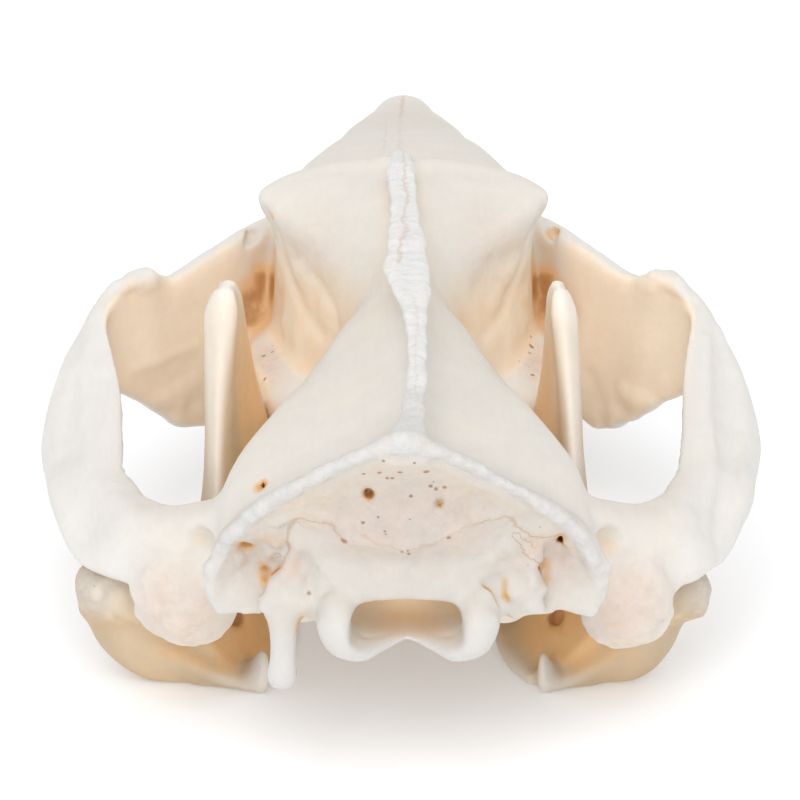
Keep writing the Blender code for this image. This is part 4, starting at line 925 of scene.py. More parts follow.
def jaw_rings(side):
    """The rings of body, blade, shelf and roller. Each point of an outline is a share of the way
    between the two edges of its station."""
    body = [[(inner + (outer - inner) * a, y, low + (top - low) * b) for a, b in BODY_OUTLINE]
            for y, inner, outer, low, top in JAW_BODY]
    blade = [[(x0 + (x1 - x0) * mix + t0 * back + t1 * fore, y0 + (y1 - y0) * share, z)
              for share, mix, back, fore in BLADE_OUTLINE] for z, y0, y1, x0, x1, t0, t1 in BLADE]
    shelf = [[(x, y0 + (y1 - y0) * along, low + (top - low) * rise) for along, rise in SHELF_OUTLINE]
             for x, y0, y1, low, top in SHELF]
    a = np.linspace(0, 2 * np.pi, 16, endpoint=False)
    roller = [np.stack([x + 0 * a, y + r * np.cos(a), z + r * np.sin(a)], axis=-1)
              for x, y, z, r in ROLLER]
    if side > 0:
        roller = [ring + [max(ring[0, 0] - ROLLER_REACH_START, 0) * (ROLLER_RIGHT_REACH - 1), 0, 0]
                  for ring in roller]
    return body, blade, shelf, roller


def slope_rings():
    """Seven points round each station: up the outer side, down the slope over its middle to the inner
    lip, and back underneath."""
    return [[(x0, y, 0.15), (x0, y, z0), (x1, y, z1), ((x1 + x2) / 2 + 0.4, y, (z1 + z2) / 2 - 0.8),
             (x2, y, z2), (x2 + 0.1, y, 0.15), (x1, y, 0.15)] for y, x0, z0, x1, z1, x2, z2 in SLOPE]


def inner_side(surface, side):
    """A surface of the inner side: on the right it first slides toward the midline."""
    points, quads = surface
    slide = [-SLOPE_RIGHT_SHIFT, 0, 0] if side > 0 else [0, 0, 0]
    return flipped((points + slide, quads), side)


def jaw_field(side):
    """Body, blade, corner, roller and slope melted together, with the nerve opening carved out and
    the underside kept on the table."""
    cells = JAW_ROOMS[side]
    body, blade, shelf, roller = jaw_rings(side)
    field = distance(settled(swept(body, 8, 4), side), cells)
    for rings, soft in ((blade, 1.8), (shelf, 0.9), (roller, 2.2)):
        field = melt(field, distance(settled(swept(rings, 8, 4), side), cells), soft)
    field = melt(field, distance(inner_side(swept(slope_rings(), 8, 4), side), cells), 1.0)
    field = carve(field, distance(inner_side(rope(NERVE_PATH), side), cells), 0.5)
    field = settle(field, 1)
    first, shape, step = cells
    above_table = (np.arange(shape[2]) + first[2]) * step
    field = np.maximum(field, (TABLE_GAP - above_table)[None, None, :].astype(np.float32))
    index, places = band(field, cells, JAW_BAND)
    x, y, z = places.T
    rough = (1 - clamp(y, 27, 29)) * clamp(np.abs(x), 25, 28) * clamp(z, 7, 10)
    change = 0.07 * noise(places, 7.0, 21) + 0.03 * noise(places, 2.5, 22)
    change = change + 0.3 * rough * noise(places, 1.1, 23)
    field[index] += change * clamp(z, 0.3, 1.5)
    return field


jaws = {}
for side, side_name in ((-1, "left"), (1, "right")):
    field = jaw_field(side)
    jaws[side_name] = (field, JAW_ROOMS[side]) + skin(field, JAW_ROOMS[side])
    print("jaw", side_name, sum(len(f) - 2 for f in jaws[side_name][3]), "triangles")

# %% [markdown]
# ## What each point of bone looks like
#
# The finish changes from place to place: recesses are painted orange-brown, partly as stain and
# partly as painted shade, thin edges are painted white, partly as wear and partly as a painted
# highlight, and the inner faces stay creamy. Numbers stored at each point tell the material where
# that is. How much bone stands round a point could be traced with rays, but the distance grid
# already knows it: the solid cells are blurred over about 2 mm and looked up at the point, where
# little bone means an edge, and a little way out along the normal, where much bone means a hollow
# that is given painted shade.

# %% Point values


def blurred_solid(field, width, passes):
    """1 in bone and 0 in air, averaged over a cube of cells, several times over."""
    solid = (field < 0).astype(np.float32)
    half = width // 2
    for _ in range(passes):
        for axis in range(3):
            margins = [(half + 1, half) if k == axis else (0, 0) for k in range(3)]
            total = np.cumsum(np.pad(solid, margins, mode="edge"), axis=axis, dtype=np.float64)
            head = np.take(total, range(width, total.shape[axis]), axis=axis)
            tail = np.take(total, range(0, total.shape[axis] - width), axis=axis)
            solid = ((head - tail) / width).astype(np.float32)
    return solid


def normals_of(field, cells, points):
    """Direction in which the distance grows fastest."""
    step = cells[2]
    out = np.stack([sample(field, cells, points + np.eye(3)[k] * step)
                    - sample(field, cells, points - np.eye(3)[k] * step) for k in range(3)], axis=-1)
    return out / (np.linalg.norm(out, axis=1, keepdims=True) + 1e-9)


def zones(points, table):
    """Largest of several soft ellipsoids: amount * (1 - s(q)), where q is the distance from the
    centre counted in radii and s rises from 0 at q = 0.3 to 1 at q = 1."""
    out = np.zeros(len(points))
    for centre_at, radii, amount in table:
        apart = np.linalg.norm((points - centre_at) / np.array(radii), axis=1)
        out = np.maximum(out, amount * (1 - clamp(apart, 0.3, 1.0)))
    return out


def surroundings(field, cells, points, normals):
    """How deep each point lies in a hollow, from the bone found 2.5 mm out along its normal, and how
    sharp an edge it is on, from the bone round itself."""
    solid = blurred_solid(field, 9, 3)
    # Painted shade: the more bone lies out along the normal, the darker and browner the point is painted,
    # partly as stain in recesses.
    hollow = clamp(sample(solid, cells, points + normals * 2.5), 0.10, 0.42)
    # Painted highlight: where little bone stands round a point, the point is painted whiter, partly as wear
    # on thin edges.
    edge = 1 - clamp(sample(solid, cells, points), 0.16, 0.36)
    return hollow, edge


soft_zone = zones(np.array([[0.0, 0.0, 0.0], [0.0, 0.0, 1.3]]), (((0, 0, 0), (2, 2, 2), 1.0),))
print("a zone of 2 mm at its middle and 1.3 mm off:", soft_zone.round(2))

# %% [markdown]
# ## Sutures and zones of stain and painted shade
#
# The bones of an adult skull meet in fine wavy seams, the sutures. Each is a short list of points
# on the skin, and every point of bone stores its signed distance from the nearest one and how open
# that suture is. The material draws the seam where the distance passes zero. Zones are soft
# ellipsoids in which the bone is stained, flushed pink by dried tissue or full of pores. Many of the
# stained zones also hold painted shade, in slits and recesses, under the lip and on down-facing tips.
# Both are tables in millimetres, so a stain can be moved without painting anything again.

# %% Sutures and zones of the cranium
# Each row: (how open and dark, points along the suture).
SUTURES = (
    (0.35, ((0.0, 123.5, 28.8), (-0.1, 121.7, 29.2), (-0.3, 106, 32.8), (-0.4, 87.6, 37.5),
            (-0.4, 70, 41))),
    (0.35, ((-0.1, 68.4, 42.2), (0.2, 61.4, 42.8), (0.0, 58.2, 42.6), (0.4, 54.7, 42.3), (0.0, 50.8, 42.0),
            (-0.1, 49.2, 41.8), (0.3, 46.6, 41.6), (-0.4, 43.5, 41.2), (-0.5, 39.5, 41.0))),
    (0.15, ((1.0, 31, 40.4), (1.3, 26, 40.1), (1.0, 18, 39.9), (1.2, 8, 39.8))),
    (0.45, ((-11.5, 5.9, 28.2), (-10.3, 5.5, 28.8), (-9.4, 5.3, 29.0), (-8.2, 5.1, 28.8), (-7.3, 4.7, 28.9),
            (-6.4, 4.4, 28.3), (-5.6, 4.2, 27.3))),
    (0.5, ((-10.3, 5.6, 28.7), (-10.7, 6.3, 27.3), (-10.7, 6.7, 25.8), (-11.0, 6.7, 24.8),
           (-12.0, 6.5, 23.8))),
    (0.5, ((9.8, 5.3, 29.1), (10.2, 5.9, 27.8), (11.0, 6.3, 27.3), (11.9, 6.7, 26.7), (13.6, 6.8, 26.5))),
    (0.45, ((6.9, 4.5, 29.0), (7.9, 4.9, 29.1), (9.4, 5.1, 29.3), (9.8, 5.3, 29.1))),
    (0.5, ((10.2, 6.6, 26.3), (10.7, 6.7, 25.6), (11.3, 6.7, 24.6), (12.4, 6.6, 23.6))),
    (0.25, ((-3.6, 3.6, 27.8), (-2.4, 3.6, 26.9), (-1.2, 3.4, 26.9), (0.1, 3.3, 26.5), (1.5, 3.4, 26.9),
            (2.8, 3.6, 27.1), (4.0, 3.7, 27.9), (5.1, 3.8, 28.5))))
# Stain and painted shade: zones in recesses, such as the brain case, the slits, the orbits and the hollow
# by the arch root, and those under the lip and on the down-facing cheek tips, are painted shade as well as
# stain.
STAIN_AND_SHADE_ZONES = (
    ((-17.2, 74, 22.5), (5.2, 9.6, 6.0), 0.9), ((-16.5, 73.6, 30.5), (1.8, 1.6, 1.2), 0.85),
    ((16.3, 73.6, 30.8), (1.6, 1.6, 1.2), 0.8), ((-13.4, 12.2, 28.8), (1.4, 1.8, 1.2), 0.85),
    ((-14.0, 64.6, 36.2), (0.9, 1.0, 0.9), 0.7), ((-28.5, 61.5, 28.5), (6, 5, 6), 0.3),
    ((28.0, 61.5, 28.5), (6, 5, 6), 0.3), ((-15.2, 64, 19.5), (4.5, 7.5, 4.5), 0.2),
    ((16.8, 74, 22.8), (5.2, 9.6, 6.0), 0.9), ((14.8, 63, 20.0), (4.5, 8.0, 4.5), 0.2),
    ((-14.0, 66, 26.5), (2.2, 3.2, 2.4), 0.55), ((13.4, 65, 26.0), (2.2, 3.2, 2.4), 0.5),
    ((0.2, 16, 20.5), (8.0, 12, 3.6), 0.95), ((0.2, 8, 16.5), (6.0, 6, 2.0), 0.45),
    ((-12.4, 6.6, 26.2), (3.0, 3.0, 2.4), 0.32), ((-10.4, 6.0, 23.4), (1.7, 3.0, 2.6), 0.3),
    ((-13.1, 8.8, 21.4), (1.0, 1.6, 3.0), 0.9), ((13.3, 9.0, 21.4), (1.0, 1.6, 3.0), 0.9),
    ((11.6, 6.4, 25.6), (2.6, 3.0, 2.4), 0.32), ((14.5, 7.6, 26.0), (1.3, 2.2, 1.0), 0.75),
    ((-14.8, 7.8, 24.6), (1.3, 2.4, 1.3), 0.95), ((-19.8, 16.9, 20.8), (2.2, 2.0, 1.8), 0.32),
    ((19.6, 16.9, 20.2), (2.2, 2.0, 2.2), 0.36), ((-12.0, 66, 25.0), (5.0, 12, 5.0), 0.22),
    ((12.0, 66, 25.0), (5.0, 12, 5.0), 0.25), ((-27.5, 58.8, 18), (5.0, 6.0, 6.0), 0.3),
    ((10.0, 78, 37.4), (1.6, 3.0, 1.6), 0.35), ((-0.3, 39.5, 41.2), (0.9, 1.6, 0.9), 0.4),
    ((-0.2, 43.4, 41.2), (0.7, 1.4, 0.9), 0.3), ((1.0, -1.2, 38.9), (2.6, 1.6, 1.0), 0.6))
FLUSH_ZONES = (
    ((0, 4, 30), (15, 7.0, 8.5), 0.75), ((-13, 8, 24), (7, 4, 6.5), 0.8), ((13, 8, 24), (7, 4, 6.5), 0.8),
    ((-21.8, 18, 13.5), (6.5, 6, 7.0), 0.9), ((21.6, 18, 13.5), (6.5, 6, 7.0), 0.9),
    ((-14.6, 60, 20.0), (4.5, 9.0, 3.4), 1.0), ((14.4, 60, 20.0), (4.5, 9.0, 3.4), 1.0),
    ((0, 100, 33), (9, 30, 7), 0.35), ((-8, 62, 33), (7, 9, 8), 0.45), ((8, 62, 33), (7, 9, 8), 0.5))
PORE_ZONES = (
    ((-14.6, 61, 20.0), (4.2, 9.0, 3.4), 1.35), ((14.0, 61, 20.6), (4.0, 9.0, 3.4), 1.35),
    ((0.3, 2.0, 34.0), (5.5, 4.0, 4.5), 0.5), ((0, 3, 28.5), (6.5, 4, 3.5), 0.3),
    ((-11, 6.5, 26), (5, 3, 4), 0.35), ((11.5, 6.5, 26), (5, 3, 4), 0.35),
    ((0.1, 3.3, 26.3), (0.9, 1.5, 0.9), 1.0))
print(len(SUTURES), "sutures and", len(STAIN_AND_SHADE_ZONES) + len(FLUSH_ZONES) + len(PORE_ZONES), "zones")

# %% [markdown]
# ## Regions of the cranium
#
# Some zones are whole faces, such as the inner side of an arch or the wall of the eye socket. An
# ellipsoid can't tell the two sides of a thin plate apart, but the normal can: it points toward the
# midline on an inner side and away from it on an outer one. So each region is a product of soft
# stretches of place and of direction, and is stored as shares from 0 to 1 for every point.

# %% Regions of the cranium
cranium_normals = normals_of(cranium, CRANIUM_ROOM, cranium_points)
cranium_hollow, cranium_edge = surroundings(cranium, CRANIUM_ROOM, cranium_points, cranium_normals)
x, y, z = cranium_points.T
aside = np.abs(x)
inward = -np.sign(x) * cranium_normals[:, 0]
# Painted shade: faces that point down are painted creamier.
underside = clamp(-cranium_normals[:, 2], 0.0, 0.8)
arch_outside = clamp(aside, 24, 29) * clamp(-inward, -0.3, 0.1)
# Painted light: the inner faces of the arches sit in shade, so they are painted paler, with less painted
# shade, more cream and more white.
arch_inside = clamp(aside, 15, 20) * clamp(inward, 0.1, 0.6) * clamp(y, 36, 50)
face_outside = clamp(-inward, 0.0, 0.4) * clamp(aside, 16.5, 18.5) * clamp(y, 62, 66)
orbit_wall = (1 - clamp(z, 28, 37)) * clamp(-inward, 0.3, 0.8)
orbit_wall = orbit_wall * between(y, 42, 52, 70, 80) * (1 - clamp(aside, 15, 19))
# Painted light: the orbit floor and roof get less painted shade, and the floor is painted lighter.
orbit_floor = clamp(aside, 9, 11) * between(y, 48, 52, 70, 74) * (1 - clamp(z, 22, 25)) * (z > 16)
orbit_roof = clamp(z, 25.5, 28) * clamp(y, 66, 70) * clamp(aside, 9, 11)
for region, share in (("arch outside", arch_outside), ("arch inside", arch_inside),
                      ("orbit wall", orbit_wall), ("orbit floor", orbit_floor)):
    print(region, "covers", round(float(np.mean(share > 0.5)) * 100, 1), "% of the points")

# %% [markdown]
# ## Seams and the crest's rim
#
# Each point keeps the suture that is nearest to it. The rim of the crest is worn chalky white like
# that of the rear plate's lip, and it is found from the crest's own stations: how far a point lies
# outside its left or right edge, and how far below its top.

# %% Seams and the rim of the crest
seam = np.full(len(cranium_points), LINE_REACH)
seam_open = np.zeros(len(cranium_points))
for open_share, line in SUTURES:
    apart = line_distance(cranium_points, cranium_normals, line)
    nearer = np.abs(apart) < np.abs(seam)
    seam, seam_open = np.where(nearer, apart, seam), np.where(nearer, open_share, seam_open)
crest_y, crest_left, crest_right, crest_height, crest_foot = np.array(CREST_STATIONS[::-1]).T
past_edge = np.maximum(np.interp(y, crest_y, crest_left) - x, x - np.interp(y, crest_y, crest_right))
below = np.interp(y, crest_y, crest_height) - z
crest_rim = (1 - clamp(past_edge, 0.3, 0.9)) * (1 - clamp(below, 1.0, 1.6)) * (y < 68) * (y > -3)
# Painted shadow: beside the crest, below its rim, the bone is painted creamier.
crest_side = (1 - clamp(past_edge, 0.8, 3.0)) * clamp(below, 1.0, 1.8) * clamp(y, 30, 44) * (y < 66)
lip = lip_distance(cranium_points, cranium_normals)
lip_rim = (0.8 - 0.8 * clamp(lip, 0.55, 1.0)) * clamp(z, 17, 25)
print("points on a seam:", int(np.sum(np.abs(seam) < 0.4)))
print("points on the crest's rim:", int(np.sum(crest_rim > 0.5)))

# %% [markdown]
# ## The values that the cranium's bone is painted by
#
# Ten numbers for each point: hollow (painted shade in recesses, partly stain), edge (white, partly a
# painted highlight), warm (creamy, partly painted light and shade), stain (partly painted shade),
# flush (pink), a painted lighter or darker shade of whole regions, porous, rim, and the seam's
# distance and openness. Where a face is sheltered but pale on the real skull, such as the inside of
# an arch, its painted shade is taken back.

# %% Values of the cranium
stained_and_shaded = zones(cranium_points, STAIN_AND_SHADE_ZONES) * (1 - face_outside)
sheltered_pale = np.maximum(arch_inside, np.maximum(0.6 * orbit_roof, 0.7 * orbit_floor))
# Painted light: the inner faces of the arches are painted whiter, and the outer faces are painted whiter
# too.
worn_and_highlighted = np.maximum(0.6 * arch_outside, 0.3 * arch_inside)
cranium_values = {
    "hollow": cranium_hollow * (1 - sheltered_pale),
    "edge": np.maximum(cranium_edge, worn_and_highlighted),
    # Cream: partly the bone's own colour, partly painted light on the arch insides and painted shade on
    # undersides and beside the crest.
    "warm": np.clip(0.95 * arch_inside + 0.7 * orbit_wall + 0.4 * underside + 0.25 * crest_side, 0, 1),
    "stain_and_shade": np.maximum(stained_and_shaded, 0.34 * orbit_wall),
    "flush": zones(cranium_points, FLUSH_ZONES),
    # Painted light and shade: the arch insides and the orbit floor are painted lighter, and the back of the
    # skull darker.
    "painted_light_and_shade": np.maximum(arch_inside, orbit_floor) * (1 - 1.5 * stained_and_shaded) - (1 - clamp(y, 7, 14)),
    "porous": zones(cranium_points, PORE_ZONES),
    "rim": np.maximum(crest_rim, lip_rim),
    "seam": seam,
    "seam_open": seam_open * (1 - clamp(np.abs(seam), 0.9, 1.3))}
for key, numbers in cranium_values.items():
    print(key, "mean", round(float(np.mean(numbers)), 3))

# %% [markdown]
# ## From arrays to objects
#
# A mesh is filled in one go from the arrays, its point values become named attributes, and the
# piece is tied to the body it belongs to, while the solids that it stands for are hidden.

# %% Making a piece


def make_piece(name, points, faces, nodes, values=None, normals=None):
    """A smooth-shaded mesh object in the row frame that replaces CAD nodes. Its shading follows the
    normals where they are given."""
    mesh = bpy.data.meshes.new(name)
    mesh.from_pydata(to_row(points), [], faces)
    mesh.shade_smooth()
    if normals is not None:
        mesh.normals_split_custom_set_from_vertices(normals)
    for key, numbers in (values or {}).items():
        attribute = mesh.attributes.new(key, "FLOAT", "POINT")
        attribute.data.foreach_set("value", np.asarray(numbers, np.float32))
    piece = bpy.data.objects.new(name, mesh)
    bpy.context.scene.collection.objects.link(piece)
    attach(piece, "root")
    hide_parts(*nodes)
    return piece


cranium_piece = make_piece("cranium_bone", cranium_points, cranium_faces, ["cranium"],
                           cranium_values, cranium_normals)
print(cranium_piece.name, "has", len(cranium_piece.data.attributes), "attributes")

# %% [markdown]
# ## Values and pieces of the two jaws
#
# The jaws are browner than the skull. Their inner faces are the most coloured, mainly above the
# inturned corner, partly as stain and partly as painted shade from the skull above them. The tops
# of the rollers are worn pale. The upper blades are painted lighter and their backward-facing faces
# whiter, as painted light, and the outer faces darker, as painted shade. Both halves share one table
# of zones, for which the left one's points are folded over to the right.

# %% Values and pieces of the jaws
# Stain and painted shade: the inner face above the corner and the low rear of each half lie in the skull's
# shade, which these zones paint in along with stain.
JAW_STAIN_AND_SHADE_ZONES = (((16.5, 33, 5.0), (7.5, 13, 8.0), 0.95), ((24, 26, 2.5), (11, 6, 5), 0.45),
              ((15.5, 46, 22), (4, 9, 16), 0.7), ((14, 50, 9), (4, 14, 7), 0.6),
              ((22, 30, 6), (5, 7, 5), 0.5))
JAW_PORES = (((30.4, 24.0, 12.6), (4.4, 4.6, 4.6), 0.8),)


def jaw_values(points, normals, hollow, jaw_edge):
    """The same ten numbers as on the cranium, from place, direction and the jaws' own zones."""
    folded = points * [np.sign(points[:, 0].mean()), 1, 1]
    height = points[:, 2]
    inward = -np.sign(points[:, 0]) * normals[:, 0]
    # Cream on inner and downward faces: partly stain, partly painted shade.
    warm = 0.4 + 0.5 * clamp(inward, 0, 0.7) + 0.3 * clamp(-normals[:, 2], 0, 1)
    roller = zones(folded, JAW_PORES)
    return {
        "hollow": hollow,
        # Painted highlight: faces of the blades that look backward, toward the lamps, are painted whiter.
        "edge": np.maximum(jaw_edge, 0.75 * clamp(-normals[:, 1], 0.2, 0.8) * clamp(height, 14, 22)),
        "warm": np.clip(warm, 0, 1) * (1 - 0.4 * clamp(height, 16, 34)),
        "stain_and_shade": zones(folded, JAW_STAIN_AND_SHADE_ZONES) * (1 - 0.75 * clamp(-inward, -0.2, 0.3)),
        "flush": roller,
        # Painted light and shade: the upper blades are painted lighter, and the faces turned away from the
        # midline darker.
        "painted_light_and_shade": 1.2 * clamp(height, 16, 24) - 1.6 * clamp(-inward, -0.1, 0.4),
        "porous": 0.6 * roller,
        "rim": 0.7 * roller,
        "seam": np.full(len(points), LINE_REACH),
        "seam_open": np.zeros(len(points))}


jaw_pieces = []
for side_name, (field, cells, points, faces) in jaws.items():
    normals = normals_of(field, cells, points)
    values = jaw_values(points, normals, *surroundings(field, cells, points, normals))
    jaw_pieces.append(make_piece("lower_jaw_bone_" + side_name, points, faces,
                                 ["lower_jaw_" + side_name], values, normals))
print("bone pieces:", [piece.name for piece in [cranium_piece] + jaw_pieces])

# %% [markdown]
# ## Teeth
#
# Opossum teeth are small and many: pegs at the front, long fangs, sharp blades behind them and low
# grinders with pointed cusps. Each is one closed surface, computed level by level from the root's
# tip to the crown and then inward over the chewing face, whose height is a sum of round peaks.

# %% Teeth
# Each row: (name, x, y, length along the row, width, crown height, tip lean, pattern).
UPPER_TEETH = (
    ("incisor_1", 1.15, 121.5, 1.5, 1.5, 4.6, 0.5, "peg"),
    ("incisor_2", 2.9, 119.8, 1.5, 1.4, 3.9, 0.3, "peg"),
    ("incisor_3", 3.7, 117.6, 1.6, 1.4, 3.8, 0.2, "peg"),
    ("incisor_4", 4.3, 115.3, 1.6, 1.4, 3.7, 0.1, "peg"),
    ("incisor_5", 4.85, 113.0, 1.5, 1.3, 3.3, 0.0, "peg"),
    ("canine", 8.2, 104.2, 5.4, 3.2, 11.6, -2.0, "fang"),
    ("premolar_1", 8.6, 98.2, 2.6, 1.8, 2.8, 0.0, "peg"),
    ("premolar_2", 9.4, 92.9, 4.6, 2.4, 4.2, 0.0, "blade"),
    ("premolar_3", 10.4, 87.1, 5.0, 2.7, 4.6, 0.0, "blade"),
    ("molar_1", 11.6, 81.2, 5.2, 4.3, 3.0, 0.0, "grinder"),
    ("molar_2", 12.5, 75.6, 5.2, 4.7, 3.0, 0.0, "grinder"),
    ("molar_3", 13.0, 70.1, 5.0, 4.8, 3.0, 0.0, "grinder"),
    ("molar_4", 12.9, 65.2, 3.6, 4.6, 2.7, 0.0, "grinder"))
LOWER_TEETH = (
    ("incisor_1", 0.95, 117.4, 1.2, 1.1, 2.6, 0.5, "peg"),
    ("incisor_2", 1.85, 115.9, 1.2, 1.1, 2.5, 0.3, "peg"),
    ("incisor_3", 2.4, 114.1, 1.2, 1.1, 2.4, 0.2, "peg"),
    ("incisor_4", 2.85, 112.4, 1.2, 1.1, 2.3, 0.1, "peg"),
    ("canine", 3.9, 109.3, 3.2, 2.5, 7.8, -0.6, "fang"),
    ("premolar_1", 5.2, 103.2, 2.2, 1.6, 2.2, 0.0, "peg"),
    ("premolar_2", 6.0, 98.0, 4.2, 2.0, 2.7, 0.0, "blade"),
    ("premolar_3", 6.6, 92.4, 4.6, 2.1, 2.8, 0.0, "blade"),
    ("molar_1", 7.2, 86.6, 5.0, 2.7, 2.6, 0.0, "grinder"),
    ("molar_2", 7.6, 80.9, 5.0, 2.8, 2.6, 0.0, "grinder"),
    ("molar_3", 8.1, 75.2, 5.0, 2.8, 2.6, 0.0, "grinder"),
    ("molar_4", 8.8, 69.6, 4.8, 2.7, 2.5, 0.0, "grinder"))
UPPER_GUM = 16.2
LOWER_GUM = 12.75
# Peaks of a grinder: (across, outer side positive; along, front positive; height share).
UPPER_CUSPS = ((0.42, 0.26, 0.95), (0.42, -0.3, 1.0), (-0.5, 0.1, 0.75), (0.8, 0.62, 0.6),
               (0.8, -0.62, 0.6))
LOWER_CUSPS = ((0.4, 0.3, 1.0), (-0.45, 0.55, 0.8), (-0.45, 0.1, 0.8), (0.4, -0.5, 0.6),
               (-0.45, -0.55, 0.6))
CUSP_SPREAD = 0.07            # square of a peak's reach, in half sizes of the crown
# How wide each pattern is at each level, from the root's end (-1) over the gum (0) to the tip (1).
LEVELS = {
    "grinder": ((-1, 0.3), (-0.9, 0.44), (0, 0.72), (0.12, 0.84), (0.34, 0.99), (0.5, 0.97), (0.62, 0.86)),
    "fang": ((-1, 0.3), (-0.9, 0.45), (0, 0.85), (0.15, 0.96), (0.35, 0.88), (0.55, 0.72),
             (0.75, 0.5), (0.9, 0.28), (0.97, 0.13)),
    "blade": ((-1, 0.3), (-0.9, 0.45), (0, 0.8), (0.12, 0.94), (0.28, 1.0), (0.5, 0.74),
              (0.75, 0.42), (0.92, 0.18), (0.98, 0.08)),
    "peg": ((-1, 0.3), (-0.9, 0.45), (0, 0.72), (0.2, 0.9), (0.5, 1.0), (0.8, 0.78), (0.95, 0.4),
            (1.0, 0.15))}
FANG_ROOT = 4.2               # mm of root in the socket
OTHER_ROOT = 2.6


def chewing_face(x, y, across, along, crown, gum, up):
    """The rim drawn in to the middle. Its height is crown * (0.5 + 0.5 * sum of peaks), each peak
    being its share * exp(-distance^2 / spread), with a low wall kept along the rim."""
    a = np.linspace(0, 2 * np.pi, len(across), endpoint=False)
    inner = np.linspace(0.84, 0.04, 14)[:, None]
    p, q = inner * np.cos(a), inner * np.sin(a)
    cusps = UPPER_CUSPS if up < 0 else LOWER_CUSPS
    peaks = sum(h * np.exp(-((p - c) ** 2 + (q - d) ** 2) / CUSP_SPREAD) for c, d, h in cusps)
    top = crown * (0.5 + 0.5 * np.minimum(peaks, 1.0))
    top = np.maximum(top, crown * 0.62 * clamp(inner, 0.7, 0.84))
    return np.stack([x + across * inner, y + along * inner, gum + up * top], axis=-1)


def tooth_surface(spec, gum, up):
    """Levels from the root's end to the crown's rim: half sizes follow a curve through the pattern's
    levels, and the section is a rounded box, x = w/2 |cos a|^n and y = l/2 |sin a|^n with their own
    signs. The tip leans forward by lean * level^1.6."""
    name, x, y, length, width, crown, lean, pattern = spec
    root = FANG_ROOT if pattern == "fang" else OTHER_ROOT
    power = 0.75 if pattern == "grinder" else 0.95
    a = np.linspace(0, 2 * np.pi, 36, endpoint=False)
    across = np.sign(np.cos(a)) * np.abs(np.cos(a)) ** power * width / 2
    along = np.sign(np.sin(a)) * np.abs(np.sin(a)) ** power * length / 2
    levels = spline(np.array(LEVELS[pattern])[:, None, :], 3)[:, 0]
    share = np.clip(levels[:, 0], 0, 1)
    height = np.where(levels[:, 0] < 0, levels[:, 0] * root, levels[:, 0] * crown)[:, None]
    size = levels[:, 1][:, None]
    shift = lean * share[:, None] ** 1.6
    grid = np.stack([x + across * size, y + along * size + shift, gum + up * (height + 0 * across)],
                    axis=-1)
    if pattern == "grinder":
        grid = np.concatenate([grid, chewing_face(x, y, across, along, crown, gum, up)])
    return closed_tube(grid)


print("a grinder has", len(tooth_surface(UPPER_TEETH[-1], UPPER_GUM, -1)[0]), "points")

# %% [markdown]
# ## Setting the teeth
#
# Each tooth is computed once for the right side and carried over to the left. Carrying it over turns
# it inside out, and so does building it downward from the gum, so the faces are turned back where
# only one of the two happens. A value that grows away from the gum line is stored for the enamel.

# %% Setting the teeth
teeth = []
for jaw, specs, gum, up in (("upper", UPPER_TEETH, UPPER_GUM, -1), ("lower", LOWER_TEETH, LOWER_GUM, 1)):
    for spec in specs:
        for side, side_name in ((-1, "left"), (1, "right")):
            points, quads = flipped(tooth_surface(spec, gum, up), side)
            if up * side < 0:
                quads = quads[:, ::-1]
            node = "%s_%s_%s" % (jaw, spec[0], side_name)
            crown = clamp(np.abs(points[:, 2] - gum), 0.3, 1.4)
            teeth.append(make_piece("enamel_" + node, points, quads.tolist(), [node],
                                    {"crown": crown}))
print(len(teeth), "teeth")

# %% [markdown]
# ## Tools for finishes
#
# A finish is a tree of nodes. There is one function that adds any node with its settings and links
# and gives back its output, so a line reads as one step: what goes in, and what is done with it. Two
# groups of settings come back all the time, and have a name each. Colours are given as a screen
# shows them, in hex, and turned to amounts of light here.

# %% Helpers for materials
SOFT = {"interpolation_type": "SMOOTHSTEP"}       # a Map Range node that eases in and out
COLOURS = {"data_type": "RGBA", "output": 2}      # a Mix node for colours, and its colour output


def linear(hex_colour):
    """sRGB hex to linear light: v / 12.92 below 0.04045, else ((v + 0.055) / 1.055) ^ 2.4."""
    parts = [int(hex_colour[i:i + 2], 16) / 255 for i in (1, 3, 5)]
    return tuple(v / 12.92 if v <= 0.04045 else ((v + 0.055) / 1.055) ** 2.4 for v in parts) + (1.0,)


def add(tree, kind, values, output=0, **settings):
    """One node: its settings by name, then each socket linked to an output or given a value. Gives
    back one of its outputs, by number or name."""
    node = tree.nodes.new("ShaderNode" + kind)
    for key, setting in settings.items():
        setattr(node, key, setting)
    for key, value in values.items():
        if isinstance(value, bpy.types.NodeSocket):
            tree.links.new(value, node.inputs[key])
        else:
            node.inputs[key].default_value = value
    return node.outputs[output]


def new_material(name):
    """An empty material with its shader, and the shader's tree."""
    mat = bpy.data.materials.new(name)
    mat.use_nodes = True
    return mat, mat.node_tree, mat.node_tree.nodes["Principled BSDF"]


print("ivory in linear light:", [round(v, 3) for v in linear("#DBD6CE")])

# %% [markdown]
# ## The patterns of dry bone
#
# This is real bone, boiled clean and bleached, so its skin is dry, chalky and matte, with a faint
# sheen where it was handled. Nothing on it is printed or even: there are patches of 9 mm, mottling
# of 2.6 mm, streaks of 1.5 mm, grains of 0.9 mm and a grit of 0.35 mm, which is coarser than the real
# one so that it shows at all. Fibres half a millimetre apart run along the skull. All of them read
# the object's own coordinates, which are metres here, so each scale is one over a real size.

# %% Patterns
VALUE_NAMES = ("hollow", "edge", "warm", "stain_and_shade", "flush", "porous", "rim", "painted_light_and_shade", "seam",
               "seam_open")
FIBRE_SIZE = (0.5, 6.0, 0.8)  # mm across, along and up
